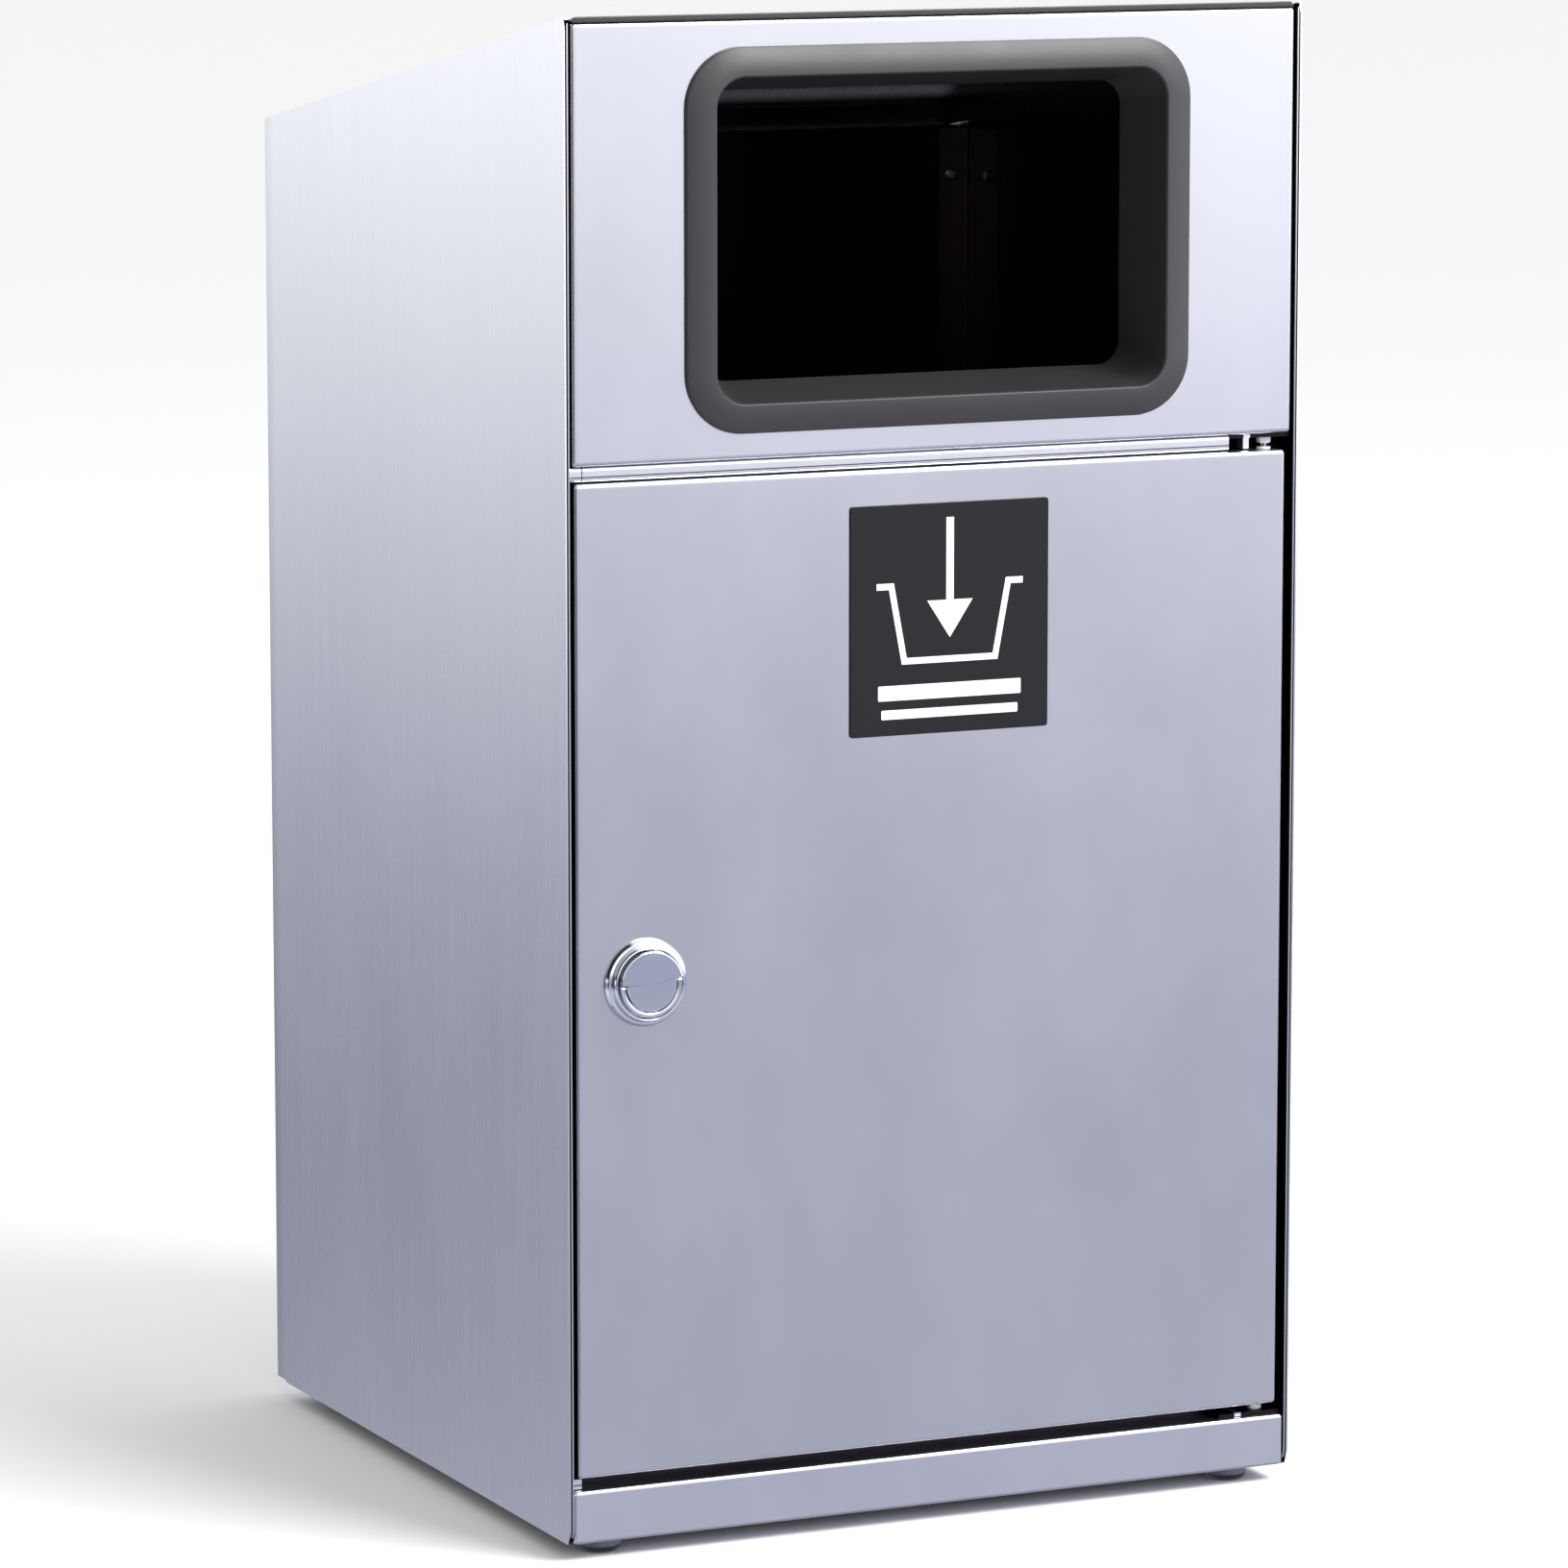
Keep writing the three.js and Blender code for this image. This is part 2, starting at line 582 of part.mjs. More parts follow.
// Front corner post: an angle with its narrow leg facing the door. Tabs carry
// its face forward into the gaps above and below the door on the latch side.
function frontPost(side) {
  const leg = box(INNER_HALF - SHEET, INNER_HALF, STOP_FACE, STOP_FACE + POST_SIDE,
    BASE_TOP + FIT, HEIGHT - POST_DROP);
  const face = box(POST_EDGE, INNER_HALF, STOP_FACE, STOP_FACE + SHEET,
    BASE_TOP + FIT, HEIGHT - POST_DROP);
  const right = join(leg, face);
  if (side > 0) {
    return right;
  }
  const tabEdge = -POST_EDGE;
  const tabOuter = -HEM_INNER + FIT;
  const lowTab = (z0, z1) => box(tabOuter, tabEdge - 1.5, 4, STOP_FACE + 0.5, z0, z1);
  return join(right.mirror([1, 0, 0]), railNose(tabOuter, tabEdge),
    lowTab(RAIL_TOP + 0.6, RAIL_TOP + 2.4), lowTab(RAIL_TOP + 3, DOOR_BOTTOM - 0.8));
}

// Base pan with upturned flanges at the sides and the back.
function basePanel() {
  const front = SHEET + BEND + FIT;
  const sideStart = STOP_FACE + POST_SIDE + 2;
  const back = REAR_FACE - FIT;
  const z0 = BASE_TOP - SHEET;
  const tray = alongY(bentSheet([
    [-INNER_HALF, z0 + BASE_FLANGE],
    [-INNER_HALF, z0],
    [INNER_HALF, z0],
    [INNER_HALF, z0 + BASE_FLANGE],
  ]), sideStart, back);
  const tongue = box(-INNER_HALF + 1.7, INNER_HALF - 1.7, front, sideStart + 1, z0, BASE_TOP);
  const rear = box(-INNER_HALF + 2, INNER_HALF - 2, back - SHEET, back, z0, z0 + BASE_FLANGE);
  return cut(join(tray, tongue, rear), ...footHoles());
}

const footPlaces = {
  front_left: [-HALF + FRONT_FOOT_INSET[0], FRONT_FOOT_INSET[1]],
  front_right: [HALF - FRONT_FOOT_INSET[0], FRONT_FOOT_INSET[1]],
  rear_left: [-HALF + REAR_FOOT_INSET[0], DEPTH - REAR_FOOT_INSET[1]],
  rear_right: [HALF - REAR_FOOT_INSET[0], DEPTH - REAR_FOOT_INSET[1]],
};

function footHoles() {
  return Object.values(footPlaces).map(([x, y]) =>
    rodZ(STUD_RADIUS + PIN_PLAY, x, y, CASE_BOTTOM - 1, BASE_TOP + 1));
}

add('cross_rail', crossRail(), brightSteel);
add('bottom_rail', bottomRail(), brightSteel);
add('front_post_left', frontPost(-1), plainSteel);
add('front_post_right', frontPost(1), plainSteel);
add('base_panel', basePanel(), plainSteel);

// ------------------------------------------------------- rear of the case

const REAR_TOP = roofAt(REAR_FACE + REAR_FLANGE) - SKIRT - 1;
const ANGLE_BOTTOM = BASE_TOP + BASE_FLANGE + 1;
const CORNER_SCREW_Z = REAR_TOP - 29;

function cornerScrewHoles(radius, side) {
  const rear = rodY(radius, side * (INNER_HALF - REAR_SCREW_IN), CORNER_SCREW_Z,
    REAR_FACE - 3, REAR_FACE + 3, 10);
  const across = toSolid(new THREE.CylinderGeometry(radius, radius, 6, 10)
    .rotateZ(Math.PI / 2)
    .translate(side * (INNER_HALF - 1), REAR_FACE - FIT - SIDE_SCREW_IN, CORNER_SCREW_Z));
  return [rear, across];
}

function rearPanel() {
  const body = pan(-INNER_HALF, INNER_HALF, BASE_TOP - SHEET, REAR_TOP, REAR_FACE,
    REAR_FACE + REAR_FLANGE);
  const radius = CORNER_SCREW_RADIUS + PIN_PLAY;
  return cut(body, cornerScrewHoles(radius, 1)[0], cornerScrewHoles(radius, -1)[0]);
}

// Angle that ties the rear panel to a side, seen through the window.
function cornerAngle(side) {
  const y = REAR_FACE - FIT;
  const profile = bentSheet([
    [-INNER_HALF + ANGLE_REAR_LEG, y],
    [-INNER_HALF, y],
    [-INNER_HALF, y - ANGLE_SIDE_LEG],
  ]);
  const left = alongZ(profile, ANGLE_BOTTOM, REAR_TOP - 1);
  const placed = side < 0 ? left : left.mirror([1, 0, 0]);
  return cut(placed, ...cornerScrewHoles(CORNER_SCREW_RADIUS + PIN_PLAY, side));
}

const screwProfile = (r, seat, tip) => [
  [0, tip], [r, tip], [r, seat], [2.3 * r, seat],
  [2.3 * r, seat - 1.1], [1.5 * r, seat - 1.9], [0, seat - 1.9],
];

function rearScrew(side) {
  const seat = REAR_FACE - 2 * FIT - SHEET;
  return turnedY(screwProfile(CORNER_SCREW_RADIUS, seat, REAR_FACE + 5),
    side * (INNER_HALF - REAR_SCREW_IN), CORNER_SCREW_Z, 12);
}

function sideScrew(side) {
  const seat = INNER_HALF - SHEET - FIT;
  const tip = INNER_HALF + FIT / 2;
  const points = screwProfile(CORNER_SCREW_RADIUS, seat, tip).map(p => new THREE.Vector2(...p));
  const geometry = new THREE.LatheGeometry(points, 12);
  geometry.rotateZ(-Math.PI / 2);
  geometry.translate(0, REAR_FACE - FIT - SIDE_SCREW_IN, CORNER_SCREW_Z);
  const right = toSolid(geometry);
  return side > 0 ? right : right.mirror([1, 0, 0]);
}

add('rear_panel', rearPanel(), satinSteel);
for (const [name, side] of [['left', -1], ['right', 1]]) {
  add(`rear_corner_angle_${name}`, cornerAngle(side), plainSteel);
  add(`corner_screw_rear_${name}`, rearScrew(side), plainSteel);
  add(`corner_screw_side_${name}`, sideScrew(side), plainSteel);
}

// ----------------------------------------------------------------- door

const BUSH_RADIUS = HINGE_PIN_RADIUS + PIN_PLAY + BUSH_WALL;

function doorPanel() {
  const body = pan(DOOR_LEFT, DOOR_RIGHT, DOOR_BOTTOM, DOOR_TOP, 0, DOOR_DEPTH);
  const bushHole = (z0, z1) => rodZ(BUSH_RADIUS + PIN_PLAY, HINGE_X, HINGE_SETBACK, z0, z1);
  return cut(body,
    bushHole(DOOR_TOP - 2, DOOR_TOP + 1),
    bushHole(DOOR_BOTTOM - 1, DOOR_BOTTOM + 2),
    rodY(NECK_RADIUS + PIN_PLAY, LATCH_X, LATCH_Z, -1, 2, 24));
}

// Flat sheet that closes the back of the door between its flanges.
function doorInnerPanel() {
  const inset = SHEET + FIT;
  const sheet = box(DOOR_LEFT + inset, DOOR_RIGHT - inset, DOOR_DEPTH - 0.2 - SHEET,
    DOOR_DEPTH - 0.2, DOOR_BOTTOM + inset, DOOR_TOP - inset);
  const spindleHole = rodY(SPINDLE_RADIUS + 2, LATCH_X, LATCH_Z, 0, DOOR_DEPTH + 1, 20);
  return cut(sheet, spindleHole);
}

function labelPlate() {
  const outline = roundedRectangle(LABEL_OFFSET, DOOR_TOP - LABEL_DROP,
    LABEL_WIDTH / 2, LABEL_HEIGHT / 2, 2, 4);
  return alongY(outline, -FIT - LABEL_THICKNESS, -FIT);
}

add('door_panel', doorPanel(), brightSteel);
add('door_inner_panel', doorInnerPanel(), plainSteel);
add('label_plate', labelPlate(), labelBlack);

// --------------------------------------------------------------- hinges

// Both brackets are plates at the front corner with a leg down to the rail
// end. `upper` hangs over the door's top edge; the lower one sits on the rail.
function hingeBracket(upper) {
  const z1 = upper ? UPPER_PLATE_TOP : LOWER_PLATE_TOP;
  const z0 = z1 - BRACKET_THICKNESS;
  const x0 = POCKET_LEFT + FIT;
  const plate = alongZ([
    [x0, 4],
    [HEM_INNER - FIT, 4],
    [HEM_INNER - FIT, STOP_FACE - FIT],
    [POST_EDGE - SEAM, STOP_FACE - FIT],
    [POST_EDGE - SEAM, STOP_FACE + POST_SIDE],
    [x0, STOP_FACE + POST_SIDE],
  ], z0, z1);
  const legEnd = upper ? z0 - STOP_LIP - 4 : z1 + STOP_LIP;
  const leg = box(x0, x0 + BRACKET_THICKNESS, STOP_FACE + FIT, STOP_FACE + POST_SIDE,
    Math.min(legEnd, z0), Math.max(legEnd, z1));
  const pinHole = rodZ(HINGE_PIN_RADIUS + PIN_PLAY, HINGE_X, HINGE_SETBACK, z0 - 1, z1 + 1);
  if (!upper) {
    return cut(join(plate, leg), pinHole);
  }
  const gussetX = HALF - 32.4;
  const gusset = box(gussetX, gussetX + 3.6, 5, 12, DOOR_TOP + 0.9, z0 + 0.5);
  return cut(join(plate, leg, gusset), pinHole);
}

function hingeNut(z0, z1) {
  const hexagon = rodZ(hexRadius(HINGE_NUT_HALF), HINGE_X, HINGE_SETBACK, z0, z1, 6);
  return cut(hexagon, rodZ(HINGE_PIN_RADIUS + PIN_PLAY, HINGE_X, HINGE_SETBACK, z0 - 1, z1 + 1));
}

// Nylon bush: a flange outside the door's edge fold and a sleeve inside it.
function hingeBush(edge, outward) {
  const bore = HINGE_PIN_RADIUS + PIN_PLAY;
  const z = height => edge + outward * height;
  return turnedZ([
    [bore, z(-8)], [BUSH_RADIUS, z(-8)], [BUSH_RADIUS, z(FIT)],
    [BUSH_RADIUS + 1.1, z(FIT)], [BUSH_RADIUS + 1.1, z(FIT + BUSH_FLANGE)],
    [bore, z(FIT + BUSH_FLANGE)],
  ], HINGE_X, HINGE_SETBACK, 16);
}

// The upper nut hangs from its plate; the lower one fills the narrower gap
// between its plate and the bush under the door.
const UPPER_NUT_TOP = UPPER_PLATE_TOP - BRACKET_THICKNESS - FIT;
const LOWER_NUT_BOTTOM = LOWER_PLATE_TOP + FIT;

add('hinge_bracket_upper', hingeBracket(true), plainSteel);
add('hinge_bracket_lower', hingeBracket(false), plainSteel);
add('hinge_nut_upper', hingeNut(UPPER_NUT_TOP - HINGE_NUT_HEIGHT, UPPER_NUT_TOP), chrome);
add('hinge_nut_lower', hingeNut(LOWER_NUT_BOTTOM, DOOR_BOTTOM - BUSH_FLANGE - 2 * FIT), chrome);
add('hinge_pin_upper', rodZ(HINGE_PIN_RADIUS, HINGE_X, HINGE_SETBACK,
  DOOR_TOP - PIN_REACH, UPPER_PLATE_TOP - 0.1), chrome);
add('hinge_pin_lower', rodZ(HINGE_PIN_RADIUS, HINGE_X, HINGE_SETBACK,
  RAIL_TOP + FIT + 0.1, DOOR_BOTTOM + PIN_REACH), chrome);
add('hinge_bush_upper', hingeBush(DOOR_TOP, 1), nylon);
add('hinge_bush_lower', hingeBush(DOOR_BOTTOM, -1), nylon);

// ---------------------------------------------------------------- latch

// Fixed rosette: flange, ring wall, recess floor and threaded neck.
function latchRosette() {
  const [wallIn, wallOut] = ROSETTE_WALL;
  const bore = SPINDLE_RADIUS + PIN_PLAY;
  return turnedY([
    [bore, 9], [NECK_RADIUS, 9], [NECK_RADIUS, -FIT], [ROSETTE_RADIUS, -FIT],
    [ROSETTE_RADIUS, -2], [ROSETTE_RADIUS - 0.8, -3.1], [wallOut + 0.2, -3.5],
    [wallOut, -6.4], [wallOut - 0.6, -7.5], [wallIn + 0.4, -7.8], [wallIn, -7.3],
    [wallIn, -3], [bore, -3],
  ], LATCH_X, LATCH_Z, 40);
}

function latchRingNut() {
  const bore = NECK_RADIUS + PIN_PLAY;
  const y0 = SHEET + FIT;
  const y1 = y0 + 5;
  const hexagon = rodY(hexRadius(15), LATCH_X, LATCH_Z, y0, y1, 6);
  return cut(hexagon, rodY(bore, LATCH_X, LATCH_Z, y0 - 1, y1 + 1, 24));
}

// Turns a solid made level about the latch axis to the knob's own tilt.
const tilt = solid => solid
  .translate([-LATCH_X, 0, -LATCH_Z])
  .rotate([0, THREE.MathUtils.radToDeg(-KNOB_TILT), 0])
  .translate([LATCH_X, 0, LATCH_Z]);

const pivotRod = (radius, x0, x1) => toSolid(new THREE.CylinderGeometry(radius, radius, x1 - x0, 12)
  .rotateZ(Math.PI / 2)
  .translate(LATCH_X + (x0 + x1) / 2, -RING_DEPTH, LATCH_Z));

const RING_INNER = KNOB_CORE + 0.35;
const RING_END = RING_THICKNESS / 2;

// Knob: a domed disc whose lower half is stepped in to take the ring pull,
// on a spindle that runs back through the door.
function latchKnob() {
  const body = turnedY([
    [0, CAM_FACE - FIT], [SPINDLE_RADIUS, CAM_FACE - FIT], [SPINDLE_RADIUS, -3.3],
    [KNOB_RADIUS, -3.3], [KNOB_RADIUS, -8.9], [KNOB_RADIUS - 1, -9.9],
    [12, -10.5], [6, -10.9], [0, -LATCH_PROUD],
  ], LATCH_X, LATCH_Z, 40);
  const seat = turnedY([
    [KNOB_CORE, -4.6], [KNOB_RADIUS + 1, -4.6],
    [KNOB_RADIUS + 1, -LATCH_PROUD], [KNOB_CORE, -LATCH_PROUD],
  ], LATCH_X, LATCH_Z, 40);
  const lower = box(LATCH_X - 30, LATCH_X + 30, -LATCH_PROUD - 1, 0,
    LATCH_Z - 30, LATCH_Z + RING_END + 0.4);
  const pinHoles = pivotRod(RING_PIN_RADIUS + 0.2, -KNOB_RADIUS, KNOB_RADIUS)
    .subtract(pivotRod(3, 2.5 - KNOB_CORE, KNOB_CORE - 2.5));
  const screwHole = rodY(2.3, LATCH_X, LATCH_Z, CAM_FACE - 8, CAM_FACE, 12);
  return tilt(cut(body, seat.intersect(lower), pinHoles, screwHole));
}

// Half-ring pull: an arc of rounded section with a pivot pin at each end.
function ringPull() {
  const outer = KNOB_RADIUS;
  const mid = (RING_INNER + outer) / 2;
  const halfWidth = (outer - RING_INNER) / 2;
  const steps = 24;
  const sections = [];
  for (let k = 0; k <= steps; k++) {
    const angle = Math.PI + Math.PI * k / steps;
    const section = [];
    for (let j = 0; j < 8; j++) {
      const a = Math.PI / 8 + Math.PI / 4 * j;
      const r = mid + halfWidth * Math.cos(a) / Math.cos(Math.PI / 8);
      const y = -RING_DEPTH + RING_END * Math.sin(a) / Math.cos(Math.PI / 8);
      section.push([LATCH_X + r * Math.cos(angle), y, LATCH_Z + r * Math.sin(angle)]);
    }
    sections.push(section);
  }
  const knuckle = side => pivotRod(RING_END, side > 0 ? RING_INNER : -outer + 0.2,
    side > 0 ? outer - 0.2 : -RING_INNER);
  const pin = side => pivotRod(RING_PIN_RADIUS, side > 0 ? KNOB_CORE - 1.8 : -mid,
    side > 0 ? mid : -KNOB_CORE + 1.8);
  return tilt(join(loft(sections, false), knuckle(1), knuckle(-1), pin(1), pin(-1)));
}

// Cam: stands upright behind the door when released and swings a quarter turn
// to reach behind the post.
function latchCam() {
  const half = CAM_WIDTH / 2;
  const outline = roundedRectangle(LATCH_X, LATCH_Z + (CAM_REACH - half) / 2, half,
    (CAM_REACH + half) / 2, half - 0.5, 5);
  const plate = alongY(outline, CAM_FACE, CAM_FACE + CAM_THICKNESS);
  return cut(plate, rodY(2.8, LATCH_X, LATCH_Z, CAM_FACE - 1, CAM_FACE + CAM_THICKNESS + 1, 12));
}

function camScrew() {
  const seat = CAM_FACE + CAM_THICKNESS + FIT;
  return turnedY([
    [0, CAM_FACE - 7], [2, CAM_FACE - 7], [2, seat], [4.5, seat],
    [4.5, seat + 1.8], [3.4, seat + 2.6], [0, seat + 2.6],
  ], LATCH_X, LATCH_Z, 14);
}

add('latch_rosette', latchRosette(), chrome);
add('latch_ring_nut', latchRingNut(), plainSteel);
add('latch_knob', latchKnob(), chrome);
add('ring_pull', ringPull(), chrome);
add('latch_cam', latchCam(), plainSteel);
add('latch_cam_screw', camScrew(), plainSteel);

// Strike plate on the back of the latch-side post.
add('strike_plate', box(-INNER_HALF + SHEET + FIT, -POST_EDGE, STRIKE_FACE,
  STRIKE_FACE + STRIKE_THICKNESS, LATCH_Z - 28, LATCH_Z + 28), plainSteel);

// Rubber pads that the closed door rests on, on the same post.
function stopPad(z) {
  const outline = roundedRectangle(-(INNER_HALF + POST_EDGE) / 2, z, 3.6, 9, 3, 4);
  return alongY(outline, DOOR_DEPTH + FIT, STOP_FACE - FIT);
}

add('door_stop_pad_upper', stopPad(DOOR_TOP - PAD_INSET), rubber);
add('door_stop_pad_lower', stopPad(DOOR_BOTTOM + PAD_INSET), rubber);

// ----------------------------------------------------------------- feet

// Levelling foot: a bowl-shaped pad on a threaded stud.
function levellingFoot([x, y]) {
  const r = FOOT_RADIUS;
  const top = FOOT_HEIGHT - 0.6;
  return turnedZ([
    [0, 0], [r - 3.5, 0], [r - 1.1, 1.1], [r, 3.4], [r, top - 0.6], [r - 0.6, top],
    [STUD_RADIUS, top], [STUD_RADIUS, STUD_TOP - 0.8], [STUD_RADIUS - 0.8, STUD_TOP], [0, STUD_TOP],
  ], x, y, 24);
}

function footNut([x, y]) {
  const [half, height] = FOOT_NUT;
  const z0 = BASE_TOP + FIT;
  const hexagon = rodZ(hexRadius(half), x, y, z0, z0 + height, 6);
  return cut(hexagon, rodZ(STUD_RADIUS + PIN_PLAY, x, y, z0 - 1, z0 + height + 1));
}

for (const [name, place] of Object.entries(footPlaces)) {
  add(`levelling_foot_${name}`, levellingFoot(place), rubber);
  add(`foot_nut_${name}`, footNut(place), plainSteel);
}

// ------------------------------------------------------------ inner bin

const BIN_HALF = POST_EDGE - BIN_SIDE_ROOM;
const BIN_FRONT = STOP_FACE + BIN_END_ROOM[0];
const BIN_BACK = REAR_FACE - BIN_END_ROOM[1];
const BIN_Y = (BIN_FRONT + BIN_BACK) / 2;
const BIN_BOTTOM = BASE_TOP + FIT;
const BIN_HEIGHT = NOSE_BOTTOM - STOP_LIP - (RAIL_TOP + STOP_LIP) - BIN_LIFT_ROOM;

const binOutline = (shrink, z) =>
  roundedRectangle(0, BIN_Y, BIN_HALF - shrink, BIN_BACK - BIN_Y - shrink, BIN_CORNER - shrink, 5)
    .map(([x, y]) => [x, y, z]);

// Open-topped plastic bin with a slight draft, a turned-out rim and a hand
// slot in each side.
function innerBin() {
  const top = BIN_BOTTOM + BIN_HEIGHT;
  const rim = 3;
  const outer = loft([
    binOutline(BIN_RIM + BIN_DRAFT, BIN_BOTTOM),
    binOutline(BIN_RIM, top - rim),
    binOutline(0, top - rim),
    binOutline(0, top),
  ], false);
  const hollow = loft([
    binOutline(BIN_RIM + BIN_DRAFT + BIN_WALL, BIN_BOTTOM + BIN_WALL),
    binOutline(BIN_RIM + BIN_WALL, top + 1),
  ], false);
  const slot = alongX(roundedRectangle(BIN_Y, top - 45, 55, 13, 12, 4),
    -BIN_HALF - 1, BIN_HALF + 1);
  return cut(outer, hollow, slot);
}

add('inner_bin', innerBin(), greyPlastic);

// ------------------------------------------------------------- placement

// The knob stands LATCH_PROUD in front of the panels, so the middle of the
// whole box lies half of that in front of the middle of the case.
for (const mesh of model.children) {
  mesh.position.y = (LATCH_PROUD - DEPTH) / 2;
}

export default model;
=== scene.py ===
"""Looks of a stainless waste-sorting litter cabinet: visible pieces, finishes and stage.

Every length is in metres. x runs to the right of the door, y to the rear and z up from the
floor. FRONT is the y of the plane that the door and the upper panel share.
"""

import json
from math import atan2, cos, pi, radians, sin, tan

import bmesh
import bpy
import numpy as np
from bpy.props import FloatProperty, FloatVectorProperty, IntProperty, PointerProperty
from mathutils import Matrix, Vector


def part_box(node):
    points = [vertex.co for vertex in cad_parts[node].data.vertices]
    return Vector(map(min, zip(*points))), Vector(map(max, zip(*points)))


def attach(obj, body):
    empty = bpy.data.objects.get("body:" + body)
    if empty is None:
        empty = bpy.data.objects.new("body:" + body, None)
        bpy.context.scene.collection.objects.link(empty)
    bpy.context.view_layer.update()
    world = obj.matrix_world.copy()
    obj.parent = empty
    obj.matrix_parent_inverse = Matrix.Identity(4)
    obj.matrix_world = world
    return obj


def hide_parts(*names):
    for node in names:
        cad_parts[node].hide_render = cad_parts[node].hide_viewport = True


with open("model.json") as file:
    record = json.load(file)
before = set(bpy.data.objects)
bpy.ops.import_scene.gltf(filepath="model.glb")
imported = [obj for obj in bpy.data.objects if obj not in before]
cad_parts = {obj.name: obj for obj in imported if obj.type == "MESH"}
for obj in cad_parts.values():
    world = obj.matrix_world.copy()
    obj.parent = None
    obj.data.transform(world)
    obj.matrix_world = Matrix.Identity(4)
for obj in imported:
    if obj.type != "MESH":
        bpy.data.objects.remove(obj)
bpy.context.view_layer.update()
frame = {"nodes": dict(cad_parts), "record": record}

bl_info = {
    "name": "Litter cabinet looks",
    "version": (1, 0, 0),
    "blender": (4, 5, 0),
    "location": "3D View > Sidebar > Cabinet",
    "description": "Visible pieces, finishes and stage of a stainless litter cabinet",
    "category": "Object",
}

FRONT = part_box("door_panel")[0].y
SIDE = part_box("side_panel_right")
HALF = SIDE[1].x
REAR = SIDE[1].y
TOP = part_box("roof_front_trim")[1].z
BOTTOM = SIDE[0].z
ROOF_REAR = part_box("roof_panel")[1].y
ROOF_FALL = tan(radians(10))


def length(name, description, default):
    """A size in metres that a user may change."""
    return FloatProperty(name=name, description=description, default=default,
                         unit="LENGTH", precision=5)


def share(name, description, default):
    """A share between 0 and 1 that a user may change."""
    return FloatProperty(name=name, description=description, default=default,
                         min=0, max=1, subtype="FACTOR")


def tint(name, description, default):
    """A colour that a user may change."""
    return FloatVectorProperty(name=name, description=description, default=default,
                               size=3, min=0, max=1, subtype="COLOR")


# ------------------------------------------------------------------ settings


class CabinetSizes(bpy.types.PropertyGroup):
    """Sizes of the details that the looks add to the frame."""

    sheet: length("Sheet", "Thickness of the folded sheet", 0.001)
    fold: length("Fold", "Inside radius of a fold in the sheet", 0.0011)
    fold_steps: IntProperty(name="Fold steps", description="Strips round a right-angled fold",
                            default=6, min=2)
    corner: length("Pan corner", "Corner radius of the folded panels", 0.0024)
    hem_gap: length("Hem gap", "Open gap between the two leaves of a side's front edge", 0.0009)
    hem_leaf: length("Hem leaf", "Thickness of the inner leaf of that edge", 0.0008)
    round_steps: IntProperty(name="Round steps", description="Facets round a turned part",
                             default=96, min=24)
    fillet: length("Fillet", "Small radius on the edges of turned parts", 0.00035)
    crown: FloatProperty(name="Crown", description="Power of the bezel's convex section",
                         default=0.9, min=0.3)
    stroke: length("Stroke", "Line width of the label's pictogram", 0.0036)
    thread_pitch: length("Thread pitch", "Rise of a foot's thread in one turn", 0.00125)


class CabinetFinish(bpy.types.PropertyGroup):
    """Colours and gloss of the finishes."""

    satin: tint("Satin steel", "Sides, roof and back", (0.66, 0.665, 0.69))
    satin_rough: share("Satin roughness", "Roughness of the sides", 0.27)
    bright: tint("Bright steel", "Door, panels and rails", (0.68, 0.685, 0.735))
    bright_rough: share("Bright roughness", "Roughness of the front panels", 0.24)
    # Painted shade: a dark base colour for the faces inside the case, standing in for the shade
    # that falls there.
    shade_coat: tint("Inner painted shade", "Painted shade on the inside of the case", (0.020, 0.018, 0.022))
    # Painted shade: a dark base colour with a warm tint on the rear corner angles inside the case.
    angle: tint("Angle painted shade", "Painted shade on the rear corner angles", (0.09, 0.068, 0.065))
    plain: tint("Plain steel", "Inner parts", (0.50, 0.50, 0.52))
    plain_rough: share("Plain roughness", "Roughness of the inner parts", 0.3)
    chrome: tint("Chrome", "Latch and hinge nuts", (0.80, 0.82, 0.87))
    plastic: tint("Dark plastic", "Window frame", (0.029, 0.026, 0.030))
    trim: tint("Trim", "Strip on the roof's edge", (0.016, 0.014, 0.018))
    label: tint("Label", "Ground of the label", (0.006, 0.0055, 0.008))
    ink: tint("Pictogram", "Figure on the label", (0.66, 0.70, 0.70))
    rubber: tint("Rubber", "Soles and stops", (0.010, 0.010, 0.012))
    foot: tint("Foot", "Bowl of a levelling foot", (0.095, 0.11, 0.15))
    bin: tint("Inner bin", "Moulded inner bin", (0.075, 0.085, 0.095))
    zinc: tint("Zinc", "Hinge nuts", (0.62, 0.62, 0.68))
    nylon: tint("Nylon", "Hinge bushes", (0.80, 0.80, 0.78))
    floor: tint("Floor", "Plain pale floor", (0.90, 0.90, 0.905))


def sizes():
    return bpy.context.scene.cabinet_sizes


def tones():
    return bpy.context.scene.cabinet_finish


# ------------------------------------------------------------------- shapes


def roof_at(y):
    """Height of the roof's upper face: it falls from the front's top by tan 10 degrees."""
    return TOP - (y - FRONT) * ROOF_FALL


def middle(node):
    """Middle of a frame part's box."""
    low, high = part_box(node)
    return (low + high) / 2


def shown(name, data):
    """Puts an object with this data into the scene."""
    made = bpy.data.objects.new(name, data)
    bpy.context.scene.collection.objects.link(made)
    return made


def aimed(thing, direction):
    """Turns a camera or lamp to look along a direction."""
    thing.rotation_mode = "QUATERNION"
    thing.rotation_quaternion = direction.to_track_quat("-Z", "Y")


def half_size(node):
    """Half the size of a frame part's box."""
    low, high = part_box(node)
    return (high - low) / 2


def placed(u, v, w, order):
    """Stacks three arrays as points; order names the axes that u, v and w run along."""
    u, v, w = np.broadcast_arrays(u, v, w)
    points = np.empty(u.shape + (3,))
    for values, axis in zip((u, v, w), order):
        points[..., "xyz".index(axis)] = values
    return points


